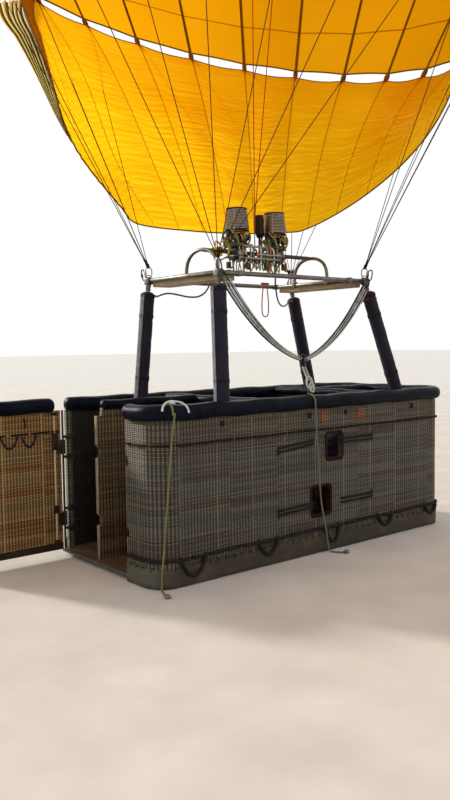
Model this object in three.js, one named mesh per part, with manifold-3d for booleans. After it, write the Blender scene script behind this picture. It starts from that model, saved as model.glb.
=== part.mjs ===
// Hot air balloon: an envelope of twenty four gores with its parachute valve and scoop, flying wires,
// a twin burner on a tube frame, four padded uprights and a woven passenger basket with an open end door.
// Millimetres, +Z up. Heights in this file are above the ground under the basket; the last lines lower
// the whole model so that its origin is the centre of lift inside the envelope. The basket's long front
// wall faces -Y and its door is at the -X end.

import * as THREE from "three";
import { mergeVertices } from "three/addons/utils/BufferGeometryUtils.js";
import Module from "manifold-3d";

const wasm = await Module();
wasm.setup();

// Driving dimensions
const TOUCH = 0.3; // gap left between solids that rest on each other

const LIFT_HEIGHT = 19000; // centre of lift above the ground

const GORES = 24;
const CLOTH = 10; // shell thickness of envelope, valve and scoop
const CONE_APEX = 1000; // height at which the load tapes would meet
const CONE_SLOPE = 0.6; // radius gained per unit of height on the lower cone
const CONE_TOP = 12100; // height up to which the cone is straight; it settles the envelope's width
const VENT_RADIUS = 2300;
const GORE_BULGE = 0.045; // bulge of a gore between tapes, as a share of its width
const MOUTH = { height: 4150, riseX: -0.088, riseY: 0.22, scallop: 60 }; // oblique plane of the mouth

const TUBE_FLAT = Math.cos(Math.PI / 10); // a ten sided tube is this much narrower across its flats
const FRAME = { x: -25, y: 20, halfLength: 770, halfWidth: 428, height: 2068, tube: 17, inset: 190 };
const BURNER = { x: -55, spread: 200, canBase: 2440, canHeight: 175, rBottom: 96, rTop: 78, wall: 8 };
const BLOCK = { half: 26, above: 24, below: 30 }; // cast corner blocks of the frame
const HOOP = { rise: 210, halfSpan: 190, tube: 11 };

const BASKET = { length: 3000, width: 1260, height: 1190, wall: 32, corner: 150 };
const PAD = { width: 118, height: 108, sides: 14 }; // padded rim section
const FLOOR = { bottom: 30, thick: 18 };
const BAND = { bottom: 6, top: 118, thick: 12 }; // hide band around the foot of the walls
const WALL_BASE = 60;
const STUB_END = -280; // free edge of the short wall beside the doorway
const PARTITION_Y = 170; // centre plane of the lengthwise partitions
const PILOT = { left: -560, right: 660 }; // centre planes of the two cross partitions
const CYLINDER = { radius: 178, height: 980, x: [-272, 388] };
const DOOR_OPEN_DEGREES = 90;
const HINGE = { rod: 9 };
const HINGE_HEIGHTS = [280, 820];
const NOTCHES = [300, 780]; // lower edges of the strap notches beside the doorway

const COLOURS = {
  cloth: [0xf5b400, 0.8, 0],
  tape: [0x6b2f12, 0.8, 0],
  steel: [0xb9bdc0, 0.35, 0.9],
  aluminium: [0xc9ccd0, 0.35, 0.8],
  panel: [0xcdb48a, 0.7, 0],
  black: [0x17191d, 0.6, 0],
  rubber: [0x111214, 0.6, 0],
  rope: [0xb9ad86, 0.9, 0],
  rod: [0xd8d4c8, 0.5, 0],
  sleeve: [0x20242e, 0.8, 0],
  wicker: [0x8c7650, 0.9, 0],
  pad: [0x161c28, 0.5, 0],
  hide: [0xa08a66, 0.8, 0],
  wood: [0xa27b4c, 0.7, 0],
  webbing: [0x9a9c94, 0.8, 0],
};

// Geometry helpers

const point = (x, y, z) => new THREE.Vector3(x, y, z);

function fromLists(corners, faces) {
  const geometry = new THREE.BufferGeometry();
  geometry.setAttribute("position", new THREE.Float32BufferAttribute(corners.flatMap((c) => [c.x, c.y, c.z]), 3));
  geometry.setIndex(faces);
  return geometry;
}

// A closed solid as a manifold, for joins and cuts.
function solid(geometry) {
  const bare = geometry.clone();
  bare.deleteAttribute("normal");
  bare.deleteAttribute("uv");
  const merged = mergeVertices(bare, 1e-3);
  return new wasm.Manifold(
    new wasm.Mesh({
      numProp: 3,
      vertProperties: merged.attributes.position.array,
      triVerts: new Uint32Array(merged.index.array),
    }),
  );
}

function geometryOf(manifold) {
  const mesh = manifold.getMesh();
  const geometry = new THREE.BufferGeometry();
  geometry.setAttribute("position", new THREE.BufferAttribute(mesh.vertProperties, 3));
  geometry.setIndex(new THREE.BufferAttribute(mesh.triVerts, 1));
  return geometry;
}

const join = (geometries) => geometryOf(geometries.map(solid).reduce((a, b) => a.add(b)));
const cut = (geometry, tools) => geometryOf(tools.map(solid).reduce((a, b) => a.subtract(b), solid(geometry)));

// A block given by its two opposite corners.
function block(low, high) {
  const size = high.map((h, i) => h - low[i]);
  const centre = high.map((h, i) => (h + low[i]) / 2);
  return new THREE.BoxGeometry(...size).translate(...centre);
}

// Rings of equal length, joined in order; open ends get flat caps.
function loft(rings, closed = false) {
  const n = rings[0].length;
  const faces = [];
  const spans = closed ? rings.length : rings.length - 1;
  for (let j = 0; j < spans; j++) {
    const a = j * n;
    const b = ((j + 1) % rings.length) * n;
    for (let i = 0; i < n; i++) {
      const k = (i + 1) % n;
      faces.push(a + i, a + k, b + k, a + i, b + k, b + i);
    }
  }
  if (!closed) {
    const last = (rings.length - 1) * n;
    for (let i = 1; i < n - 1; i++) {
      faces.push(0, i + 1, i);
      faces.push(last, last + i, last + i + 1);
    }
  }
  return fromLists(rings.flat(), faces);
}

// A round bar along a line of points, its section carried along without twist.
function bar(points, radius, sides = 8, closed = false) {
  const count = points.length;
  const at = (i) => points[(i + count) % count];
  const heading = (i) => {
    const before = closed ? at(i - 1) : points[Math.max(i - 1, 0)];
    const after = closed ? at(i + 1) : points[Math.min(i + 1, count - 1)];
    return after.clone().sub(before).normalize();
  };
  let across = point(0, 0, 1);
  if (Math.abs(heading(0).z) > 0.9) across = point(1, 0, 0);
  const rings = points.map((centre, i) => {
    const ahead = heading(i);
    across = across.clone().addScaledVector(ahead, -across.dot(ahead)).normalize();
    const up = ahead.clone().cross(across);
    return Array.from({ length: sides }, (_, k) => {
      const angle = (2 * Math.PI * k) / sides;
      return centre
        .clone()
        .addScaledVector(across, radius * Math.cos(angle))
        .addScaledVector(up, radius * Math.sin(angle));
    });
  });
  return loft(rings, closed);
}

// A shell between an outer and an inner surface, each a function of (u, v) in 0..1.
// u runs counter-clockwise seen from above and v runs up; wrap joins u = 1 to u = 0.
function shell(columns, rows, wrap, outer, inner) {
  const across = wrap ? columns : columns + 1;
  const corners = [];
  for (const surface of [outer, inner])
    for (let j = 0; j <= rows; j++)
      for (let i = 0; i < across; i++) corners.push(surface(i / columns, j / rows));
  const half = across * (rows + 1);
  const at = (i, j) => j * across + (i % across);
  const faces = [];
  const quad = (a, b, c, d) => faces.push(a, b, c, a, c, d);
  for (let j = 0; j < rows; j++)
    for (let i = 0; i < columns; i++) {
      quad(at(i, j), at(i + 1, j), at(i + 1, j + 1), at(i, j + 1));
      quad(half + at(i, j + 1), half + at(i + 1, j + 1), half + at(i + 1, j), half + at(i, j));
    }
  for (let i = 0; i < columns; i++) {
    quad(half + at(i, 0), half + at(i + 1, 0), at(i + 1, 0), at(i, 0));
    quad(at(i, rows), at(i + 1, rows), half + at(i + 1, rows), half + at(i, rows));
  }
  if (!wrap)
    for (let j = 0; j < rows; j++) {
      quad(at(0, j), at(0, j + 1), half + at(0, j + 1), half + at(0, j));
      quad(half + at(columns, j), half + at(columns, j + 1), at(columns, j + 1), at(columns, j));
    }
  return fromLists(corners, faces);
}

// Points of a circular arc in plan, from one angle to another in degrees.
function arc(cx, cy, radius, from, to, steps) {
  return Array.from({ length: steps + 1 }, (_, i) => {
    const angle = THREE.MathUtils.degToRad(from + ((to - from) * i) / steps);
    return [cx + radius * Math.cos(angle), cy + radius * Math.sin(angle)];
  });
}

const CORNER_STEPS = 6; // facets in each rounded corner of the basket

// A plan outline raised from one height to another.
function raised(outline, bottom, top) {
  const shape = new THREE.Shape(outline.map(([x, y]) => new THREE.Vector2(x, y)));
  return new THREE.ExtrudeGeometry(shape, { depth: top - bottom, bevelEnabled: false, steps: 1 }).translate(0, 0, bottom);
}

// A wall panel drawn in its own plane (x along, z up) and given its thickness along y.
function panelAlongX(outline, holes, yLow, yHigh) {
  const shape = new THREE.Shape(outline.map(([x, z]) => new THREE.Vector2(x, z)));
  for (const hole of holes) shape.holes.push(new THREE.Path(hole.map(([x, z]) => new THREE.Vector2(x, z))));
  return new THREE.ExtrudeGeometry(shape, { depth: yHigh - yLow, bevelEnabled: false, steps: 1 })
    .rotateX(Math.PI / 2)
    .translate(0, yHigh, 0);
}

// A rectangle with rounded corners, as outline points.
function roundedRectangle(x0, z0, x1, z1, r) {
  return [
    ...arc(x1 - r, z0 + r, r, -90, 0, 3),
    ...arc(x1 - r, z1 - r, r, 0, 90, 3),
    ...arc(x0 + r, z1 - r, r, 90, 180, 3),
    ...arc(x0 + r, z0 + r, r, 180, 270, 3),
  ];
}

// The model
const balloon = new THREE.Group();
const door = new THREE.Group();

function add(name, geometry, look, parent = balloon) {
  const [color, roughness, metalness] = COLOURS[look];
  const mesh = new THREE.Mesh(geometry, new THREE.MeshStandardMaterial({ color, roughness, metalness }));
  mesh.name = name;
  parent.add(mesh);
}

// Envelope profile: a straight cone, then the line that cloth between load tapes takes, whose curvature
// grows with the height above the cone (the hot air's pressure) and with the radius (a gore's width).
const CONE_LEAN = Math.atan(CONE_SLOPE);
const MERIDIAN_STEP = 50;
const ENVELOPE_ROWS = 18;
const CONE_ROWS = 3;

function meridian(tightness) {
  let [r, z, lean] = [(CONE_TOP - CONE_APEX) * CONE_SLOPE, CONE_TOP, CONE_LEAN];
  const line = [{ r, z, lean }];
  while (lean > -Math.PI / 2 && r > 0) {
    lean -= tightness * r * (z - CONE_TOP) * MERIDIAN_STEP;
    r += Math.sin(lean) * MERIDIAN_STEP;
    z += Math.cos(lean) * MERIDIAN_STEP;
    line.push({ r, z, lean });
  }
  return line;
}

// Too tight a line turns level before it reaches the axis; halving finds the one that does both at once.
function closedMeridian() {
  let [low, high] = [1e-13, 1e-10];
  for (let i = 0; i < 50; i++) {
    const middle = Math.sqrt(low * high);
    if (meridian(middle).at(-1).r > MERIDIAN_STEP) high = middle;
    else low = middle;
  }
  return meridian(low);
}

const MERIDIAN = closedMeridian();
const VENT_INDEX = MERIDIAN.findLastIndex(({ r }) => r > VENT_RADIUS);

// Height at which the oblique mouth plane crosses the cone in a given direction.
function mouthHeight(angle) {
  const { height, riseX, riseY } = MOUTH;
  const radius = (height - CONE_APEX) / (1 / CONE_SLOPE - riseX * Math.cos(angle) - riseY * Math.sin(angle));
  return CONE_APEX + radius / CONE_SLOPE;
}

// Radius, height and outward normal of the profile at v in 0..1, from mouth to vent.
function profile(v, mouth) {
  const coneShare = CONE_ROWS / ENVELOPE_ROWS;
  let { r, z, lean } = MERIDIAN[Math.round((VENT_INDEX * Math.max(v - coneShare, 0)) / (1 - coneShare))];
  if (v < coneShare) {
    z = mouth + (CONE_TOP - mouth) * (v / coneShare);
    r = (z - CONE_APEX) * CONE_SLOPE;
  }
  return { r, z, nr: Math.cos(lean), nz: -Math.sin(lean) };
}

// Tapes lie half a gore off the axes, six to each quarter.
const tapeAngle = (k) => (2 * Math.PI * (k + 0.5)) / GORES;
const STEPS_PER_GORE = 2;

// How far between two tapes an angle lies: 0 on a tape, 1 midway.
function between(angle) {
  const turn = (angle * GORES) / (2 * Math.PI) - 0.5;
  const share = turn - Math.floor(turn);
  return Math.sin(Math.PI * share);
}

function envelopePoint(u, v, inset) {
  const angle = tapeAngle(0) + 2 * Math.PI * u;
  const p = profile(v, mouthHeight(angle) + MOUTH.scallop * between(angle));
  const goreWidth = (2 * Math.PI * p.r) / GORES;
  const chord = 1 - (1 - Math.cos(Math.PI / GORES)) * between(angle);
  const r = p.r * chord + GORE_BULGE * goreWidth * between(angle) - inset * p.nr;
  return point(r * Math.cos(angle), r * Math.sin(angle), p.z - inset * p.nz);
}

// The envelope in four quarters of six gores, which meet at load tapes, each on the wires of one corner.
function makeEnvelope() {
  const columns = (GORES / 4) * STEPS_PER_GORE;
  CORNERS.forEach(([name], quarter) => {
    const surface = (inset) => (u, v) => {
      const angle = tapeAngle(0) + (Math.PI / 2) * (quarter + u);
      const back = u === 0 ? TOUCH / 2 : u === 1 ? -TOUCH / 2 : 0;
      const sideways = point(-Math.sin(angle), Math.cos(angle), 0).multiplyScalar(back);
      return envelopePoint((quarter + u) / 4, v, inset).add(sideways);
    };
    add(`envelope_${name}`, shell(columns, ENVELOPE_ROWS, false, surface(0), surface(CLOTH)), "cloth");
  });
}

// Crown: the load tapes run on over the vent to the crown ring.
const VALVE = { radius: 2620, under: 10.3 };
const CROWN = { radius: 160, tapeWidth: 50, tapeThick: 6, tapeRise: 1.3 };

// Height of the crown's cloth at a distance from the axis.
function crownHeight(r) {
  const i = Math.min(MERIDIAN.findLastIndex((p) => p.r > r), MERIDIAN.length - 2);
  const [a, b] = [MERIDIAN[i], MERIDIAN[i + 1]];
  return a.z + ((b.z - a.z) * (a.r - r)) / (a.r - b.r);
}

function crownTape(angle) {
  const radii = [CROWN.radius - 20, 900, 1600, VENT_RADIUS + 90];
  const side = point(-Math.sin(angle), Math.cos(angle), 0).multiplyScalar(CROWN.tapeWidth / 2);
  const rings = radii.map((r) => {
    const z = crownHeight(r) + CROWN.tapeRise;
    const middle = point(r * Math.cos(angle), r * Math.sin(angle), z);
    const top = middle.clone().add(point(0, 0, CROWN.tapeThick));
    return [middle.clone().sub(side), middle.clone().add(side), top.clone().add(side), top.clone().sub(side)];
  });
  return loft(rings);
}

function makeCrown() {
  const z = crownHeight(0) + 6;
  const circle = arc(0, 0, CROWN.radius, 0, 360 - 15, 23).map(([x, y]) => point(x, y, z));
  const ring = bar(circle, 14, 8, true);
  const tapes = Array.from({ length: GORES }, (_, k) => crownTape(tapeAngle(k)));
  add("crown_tapes", join([ring, ...tapes]), "tape");
}

function makeValve() {
  const rows = 5;
  const surface = (inset) => (u, v) => {
    const angle = 2 * Math.PI * u;
    const r = VALVE.radius + (60 - VALVE.radius) * v;
    return point(r * Math.cos(angle), r * Math.sin(angle), crownHeight(r) - CLOTH - inset);
  };
  add("parachute_valve", shell(GORES, rows, true, surface(VALVE.under), surface(VALVE.under + CLOTH)), "cloth");
}

// Scoop: a funnel of cloth below two thirds of the mouth, open towards the front left.
const SCOOP = {
  right: -67.5, // degrees around the axis at the ring
  leftTop: 120,
  leftBottom: 150,
  hem: 2570, // height of the level part of the lower edge
  hemRight: 3560, // height of the lower edge at its right end
  gap: 20, // below the tape ends
  scallop: 90,
  inset: 75, // how far the wires press the cloth inwards half way down
  inside: 6, // top edge inside the tape ends
};

function scoopPoint(u, v, inset) {
  const degrees = SCOOP.right + (SCOOP.leftTop + (SCOOP.leftBottom - SCOOP.leftTop) * (1 - v ** 3) - SCOOP.right) * u;
  const angle = THREE.MathUtils.degToRad(degrees);
  const top = mouthHeight(angle) - SCOOP.gap - SCOOP.scallop * between(angle);
  const slant = Math.max(0, 1 - u / 0.45);
  const hem = SCOOP.hem + (SCOOP.hemRight - SCOOP.hem) * slant ** 1.3;
  const z = hem + (top - hem) * v;
  const pressed = SCOOP.inset * Math.sin(Math.PI * v) ** 0.7 + SCOOP.inside;
  const r = (z - CONE_APEX) * CONE_SLOPE - pressed - inset;
  return point(r * Math.cos(angle), r * Math.sin(angle), z);
}

function makeScoop() {
  const outer = (u, v) => scoopPoint(u, v, 0);
  const inner = (u, v) => scoopPoint(u, v, CLOTH);
  add("scoop", shell(50, 8, false, outer, inner), "cloth");
}

// Flying wires: six from each frame corner to the tape ends.
const WIRE_RADIUS = 3;
const CORNERS = [
  // name, sign along x, sign along y, first tape
  ["rear_right", 1, 1, 0],
  ["rear_left", -1, 1, 6],
  ["front_left", -1, -1, 12],
  ["front_right", 1, -1, 18],
];

const frameCorner = (sx, sy, z) => point(FRAME.x + sx * FRAME.halfLength, FRAME.y + sy * FRAME.halfWidth, z);

// The cast block at a frame corner, made larger all round by a margin.
function cornerBlock(c, margin) {
  const { half, above, below } = BLOCK;
  const side = half + margin;
  return block([c.x - side, c.y - side, c.z - below - margin], [c.x + side, c.y + side, c.z + above + margin]);
}

function tapeEnd(k) {
  const angle = tapeAngle(k);
  const z = mouthHeight(angle);
  const r = (z - CONE_APEX) * CONE_SLOPE;
  return point(r * Math.cos(angle), r * Math.sin(angle), z);
}

function makeWires() {
  for (const [name, sx, sy, first] of CORNERS) {
    const foot = frameCorner(sx, sy, FRAME.height + BLOCK.above + 39 + TOUCH);
    const ringPlane = point(foot.x, foot.y, 0).normalize();
    const ring = bar(
      Array.from({ length: 12 }, (_, i) => {
        const a = (2 * Math.PI * i) / 12;
        return foot.clone().addScaledVector(ringPlane, 22 * Math.cos(a)).add(point(0, 0, 34 * Math.sin(a)));
      }),
      5,
      6,
      true,
    );
    const start = foot.clone().add(point(0, 0, 34));
    const wires = Array.from({ length: 6 }, (_, i) => {
      const end = tapeEnd(first + i);
      const pull = end.clone().sub(start).normalize();
      return bar([start, end.addScaledVector(pull, -1.5)], WIRE_RADIUS, 6);
    });
    add(`flying_wires_${name}`, join([ring, ...wires]), "steel");
  }
}

// Burner frame: a rectangle of tube, two cross tubes and the two hoops that carry the burner.
function makeFrame() {
  const { x, y, halfLength, halfWidth, height, tube, inset } = FRAME;
  const rectangle = CORNERS.map(([, sx, sy]) => frameCorner(sx, sy, height));
  const sides = rectangle.map((corner, i) => bar([corner, rectangle[(i + 1) % 4]], tube, 10));
  const pieces = [...sides, ...rectangle.map((corner) => cornerBlock(corner, 0))];
  for (const sign of [-1, 1]) {
    const cx = x + sign * (halfLength - inset);
    pieces.push(bar([point(cx, y - halfWidth, height), point(cx, y + halfWidth, height)], tube - 3, 10));
    const arch = Array.from({ length: 11 }, (_, i) => {
      const a = (Math.PI * i) / 10;
      return point(cx, y - HOOP.halfSpan * Math.cos(a), height + HOOP.rise * Math.sin(a) ** 0.6);
    });
    pieces.push(bar(arch, HOOP.tube, 8));
  }
  add("burner_frame", join(pieces), "aluminium");
  for (const [name, sign] of [["left", -1], ["right", 1]]) {
    const outer = x + sign * (halfLength - TUBE_FLAT * tube - TOUCH);
    const inner = x + sign * (halfLength - inset + TUBE_FLAT * (tube - 3) + TOUCH);
    const [low, high] = [Math.min(outer, inner), Math.max(outer, inner)];
    const half = halfWidth - tube - 14;
    add(`frame_panel_${name}`, block([low, y - half, height - 16], [high, y + half, height + 4]), "panel");
  }
}

const FITTING = { length: 22, radius: 12 }; // hose fittings under the burner block

// Burner: the block that hangs between the hoops and the two vaporising cans on it.
function makeBurner() {
  const { x, spread, canBase, canHeight, rBottom, rTop, wall } = BURNER;
  const y = FRAME.y;
  const top = FRAME.height + HOOP.rise;
  const hoopX = [-1, 1].map((s) => FRAME.x + s * (FRAME.halfLength - FRAME.inset));
  const pieces = [
    bar([point(hoopX[0] + HOOP.tube + TOUCH, y, top), point(hoopX[1] - HOOP.tube - TOUCH, y, top)], 16, 10),
    block([x - spread - 60, y - 45, top - 60], [x + spread + 60, y + 45, top - 10]),
  ];
  for (const sign of [-1, 1]) {
    const cx = x + sign * spread;
    pieces.push(block([cx - 75, y - 60, top - 20], [cx + 75, y + 60, top + 75]));
    pieces.push(bar([point(cx, y, top + 60), point(cx, y, canBase - 30)], 26, 10));
    pieces.push(block([cx - 100, y - 9, canBase - 40], [cx + 100, y + 9, canBase - TOUCH]));
  }
  for (const { fitting: [fx, fy] } of Object.values(HOSES))
    pieces.push(bar([point(fx, fy, top - 60 - FITTING.length), point(fx, fy, top - 50)], FITTING.radius, 10));
  add("burner_block", join(pieces), "black");
  for (const [name, sign] of [["left", -1], ["right", 1]]) {
    const outline = [
      [rBottom - wall, 0],
      [rBottom, 0],
      [rBottom, 30],
      [rTop, canHeight - 15],
      [rTop + 5, canHeight],
      [rTop + 5 - wall, canHeight],
      [rTop - wall, canHeight - 15],
      [rBottom - wall, 30],
      [rBottom - wall, 0],
    ];
    const can = new THREE.LatheGeometry(outline.map(([r, h]) => new THREE.Vector2(r, h)), 28)
      .rotateX(Math.PI / 2)
      .translate(x + sign * spread, y, canBase);
    add(`burner_can_${name}`, can, "steel");
  }
}

// Uprights: nylon rods from the frame corners to sockets behind the rim, in padded sleeves.
const UPRIGHT = {
  rod: 13,
  sleeve: 48,
  sleeveEnds: [0.1, 0.94], // along the rod
  footLeft: -880,
  footRight: 1180,
  footFront: -553.7,
  footRear: 535.2,
  footZ: 700,
};
const HOSE_BELOW_TOP = 35; // a fuel hose leaves its sleeve this far below the sleeve's top

// Foot and top of the rod at one corner.
function uprightEnds(sx, sy) {
  const footX = sx < 0 ? UPRIGHT.footLeft : UPRIGHT.footRight;
  const foot = point(footX, sy < 0 ? UPRIGHT.footFront : UPRIGHT.footRear, UPRIGHT.footZ);
  return [foot, frameCorner(sx, sy, FRAME.height)];
}

function makeUprights() {
  for (const [name, sx, sy] of CORNERS) {
    const [foot, top] = uprightEnds(sx, sy);
    add(`upright_rod_${name}`, cut(bar([foot, top], UPRIGHT.rod, 12), [cornerBlock(top, TOUCH)]), "rod");
    const along = (s) => foot.clone().lerp(top, s);
    const [a, b] = UPRIGHT.sleeveEnds.map(along);
    const hollow = bar([foot, top], UPRIGHT.rod + TOUCH, 12);
    add(`upright_sleeve_${name}`, cut(bar([a, b], UPRIGHT.sleeve, 14), [hollow]), "sleeve");
  }
}

// Basket walls
const HALF_L = BASKET.length / 2;
const HALF_W = BASKET.width / 2;
const WALL_TOP = BASKET.height - PAD.height + 14;
const DOOR_GAP = 8;
const REAR_END = -HALF_L + 40; // left end of the rear wall, beside the hinge rod
const AXIS = { x: -HALF_L + BASKET.wall / 2, y: HALF_W - BASKET.wall / 2 };

// Foot holes in the pilot's part of the long walls: x and z of two opposite corners.
const FOOT_HOLES = [
  [40, 690, 228, 897],
  [-119, 280, 95, 507],
];

function longWall(x0, x1, yLow, yHigh) {
  const outline = [
    [x0, WALL_BASE],
    [x1, WALL_BASE],
    [x1, WALL_TOP],
    [x0, WALL_TOP],
  ];
  const holes = FOOT_HOLES.map(([a, b, c, d]) => roundedRectangle(a, b, c, d, 40).reverse());
  return panelAlongX(outline, holes, yLow, yHigh);
}

function makeWalls() {
  const { wall, corner } = BASKET;
  const inner = corner - wall;
  const straight = HALF_L - corner;
  add("front_wall", longWall(-straight + TOUCH, straight - TOUCH, -HALF_W, -HALF_W + wall), "wicker");
  add("rear_wall", longWall(REAR_END, straight - TOUCH, HALF_W - wall, HALF_W), "wicker");
  const [cx, cy] = [straight, HALF_W - corner];
  const endPlan = [
    ...arc(cx, -cy, corner, -90, 0, CORNER_STEPS),
    ...arc(cx, cy, corner, 0, 90, CORNER_STEPS),
    ...arc(cx, cy, inner, 90, 0, CORNER_STEPS),
    ...arc(cx, -cy, inner, 0, -90, CORNER_STEPS),
  ];
  add("right_end_wall", raised(endPlan, WALL_BASE, WALL_TOP), "wicker");
  const stubPlan = [
    ...arc(-cx, -cy, corner, 180, 270, CORNER_STEPS),
    ...arc(-cx, -cy, inner, 270, 180, CORNER_STEPS),
    [-HALF_L + wall, STUB_END],
    [-HALF_L, STUB_END],
  ];
  const notches = NOTCHES.map((z) =>
    block([-HALF_L - 5, STUB_END - 25, z], [-HALF_L + wall + 5, STUB_END + 5, z + 72]),
  );
  add("door_stub_wall", cut(raised(stubPlan, WALL_BASE, WALL_TOP), notches), "wicker");
}

// A section carried along a plan line. Each station is x, y and the direction across the section,
// which points to the right of the way ahead; the section's points are [across, height].
function planSweep(stations, section) {
  const rings = stations.map(([x, y, nx, ny]) => section.map(([across, z]) => point(x + nx * across, y + ny * across, z)));
  return loft(rings);
}

const rollSection = () =>
  arc(0, 0, 1, 0, -360 + 360 / PAD.sides, PAD.sides - 1).map(([c, s]) => [
    (PAD.width / 2) * c,
    BASKET.height - PAD.height / 2 + (PAD.height / 2) * s,
  ]);

// The groove under a roll, where it sits down over the top of a wall.
function grooveSection() {
  const half = BASKET.wall / 2 + TOUCH;
  const [low, top] = [BASKET.height - PAD.height - 5, WALL_TOP + TOUCH];
  return [
    [half, low],
    [-half, low],
    [-half, top],
    [half, top],
  ];
}

function padded(stations, extended) {
  return cut(planSweep(stations, rollSection()), [planSweep(extended, grooveSection())]);
}

function cornerStations(cx, cy, radius, from, to) {
  return arc(0, 0, 1, from, to, CORNER_STEPS).map(([nx, ny]) => [cx + radius * nx, cy + radius * ny, nx, ny]);
}

// Stations round the basket from the stub to the rear wall's free end, "out" beyond the walls' centre line.
function aroundBasket(out, endReach) {
  const half = BASKET.wall / 2;
  const radius = BASKET.corner - half + out;
  const [cx, cy] = [HALF_L - BASKET.corner, HALF_W - BASKET.corner];
  return [
    [-HALF_L + half - out, STUB_END + endReach, -1, 0],
    ...cornerStations(-cx, -cy, radius, 180, 270),
    ...cornerStations(cx, -cy, radius, 270, 360),
    ...cornerStations(cx, cy, radius, 0, 90),
    [REAR_END - endReach, HALF_W - half + out, 0, 1],
  ];
}

function makeRim() {
  add("rim_pad", padded(aroundBasket(0, 0), aroundBasket(0, 10)), "pad");
}

function makeBand() {
  const inner = BASKET.wall / 2 + TOUCH;
  const outer = BASKET.wall / 2 + BAND.thick;
  const section = [
    [outer, BAND.bottom],
    [inner, BAND.bottom],
    [inner, BAND.top],
    [outer - 6, BAND.top],
  ];
  add("hide_band", planSweep(aroundBasket(0, 0), section), "hide");
}

// Floor board with its runners, and the raised lip that the walls are laced to.
function makeFloor() {
  const { corner, wall } = BASKET;
  const [cx, cy] = [HALF_L - corner, HALF_W - corner];
  const plan = [
    ...arc(-cx, -cy, corner - TOUCH, 180, 270, CORNER_STEPS),
    ...arc(cx, -cy, corner - TOUCH, 270, 360, CORNER_STEPS),
    ...arc(cx, cy, corner - TOUCH, 0, 90, CORNER_STEPS),
    [-HALF_L + TOUCH, HALF_W - TOUCH],
  ];
  const runners = [-1200, -600, 0, 600, 1200].map((x) =>
    block([x - 35, -HALF_W + 40, 0], [x + 35, HALF_W - 40, FLOOR.bottom + 1]),
  );
  const board = raised(plan, FLOOR.bottom, FLOOR.bottom + FLOOR.thick);
  const lipOuter = HALF_L - 1;
  const lip = WALL_BASE - TOUCH;
  const lips = [
    block([-cx, -HALF_W + 1, FLOOR.bottom + 5], [cx, -HALF_W + wall - 1, lip]),
    block([REAR_END, HALF_W - wall + 1, FLOOR.bottom + 5], [cx, HALF_W - 1, lip]),
    block([lipOuter - wall + 2, -cy, FLOOR.bottom + 5], [lipOuter, cy, lip]),
    block([-lipOuter, -cy, FLOOR.bottom + 5], [-lipOuter + wall - 2, STUB_END, lip]),
  ];
  add("basket_floor", join([board, ...runners, ...lips]), "wood");
}

// Inner walls: two across, which close off the pilot's part, and one lengthwise at each side of it.
const INNER = { thick: 30, base: FLOOR.bottom + FLOOR.thick + TOUCH, padWidth: 84, padHeight: 70 };
const LEFT_PARTITION_END = -HALF_L + BASKET.wall + 12;

// The outline of an inner wall, lower at the ends that tuck under the rim pad.
function innerOutline(from, to, tuckFrom, tuckTo) {
  const top = BASKET.height - INNER.padHeight + 12;
  const low = BASKET.height - PAD.height - (from === LEFT_PARTITION_END ? DOOR_GAP : TOUCH);
  const tuck = PAD.width / 2 - BASKET.wall / 2 + TOUCH;
  const start = tuckFrom ? [[from, low], [from + tuck, low], [from + tuck, top]] : [[from, top]];
  const finish = tuckTo ? [[to - tuck, top], [to - tuck, low], [to, low]] : [[to, top]];
  return [[to, INNER.base], [from, INNER.base], ...start, ...finish].reverse();
}

function makePartitions() {
  const half = INNER.thick / 2;
  const inside = HALF_W - BASKET.wall - TOUCH;
  for (const [name, x] of Object.entries({ left: PILOT.left, right: PILOT.right })) {
    const across = panelAlongX(innerOutline(-inside, inside, true, true), [], -half, half);
    add(`cross_partition_${name}`, across.rotateZ(Math.PI / 2).translate(x, 0, 0), "wicker");
  }
  const [yLow, yHigh] = [PARTITION_Y - half, PARTITION_Y + half];
  const leftWall = panelAlongX(
    innerOutline(LEFT_PARTITION_END, PILOT.left - half - TOUCH, true, false),
    [],
    yLow,
    yHigh,
  );
  const notches = NOTCHES.map((z) =>
    block([LEFT_PARTITION_END - 5, yLow - 5, z], [LEFT_PARTITION_END + 25, yHigh + 5, z + 72]),
  );
  add("partition_left", cut(leftWall, notches), "wicker");
  const rightEnd = HALF_L - BASKET.wall - TOUCH;
  const rightOutline = innerOutline(PILOT.right + half + TOUCH, rightEnd, false, true);
  add("partition_right", panelAlongX(rightOutline, [], yLow, yHigh), "wicker");
}

function innerPad(along, centre, from, to) {
  const top = BASKET.height - 4;
  const rolls = arc(0, 0, 1, 0, -330, 11).map(([c, s]) => [
    (INNER.padWidth / 2) * c,
    top - INNER.padHeight / 2 + (INNER.padHeight / 2) * s,
  ]);
  const half = INNER.thick / 2 + TOUCH;
  const wallTop = BASKET.height - INNER.padHeight + 12 + TOUCH;
  const groove = [
    [half, top - INNER.padHeight - 5],
    [-half, top - INNER.padHeight - 5],
    [-half, wallTop],
    [half, wallTop],
  ];
  const line = (reach) =>
    along === "x"
      ? [
          [from - reach, centre, 0, -1],
          [to + reach, centre, 0, -1],
        ]
      : [
          [centre, from - reach, 1, 0],
          [centre, to + reach, 1, 0],
        ];
  return { roll: planSweep(line(0), rolls), groove: planSweep(line(6), groove) };
}

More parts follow.
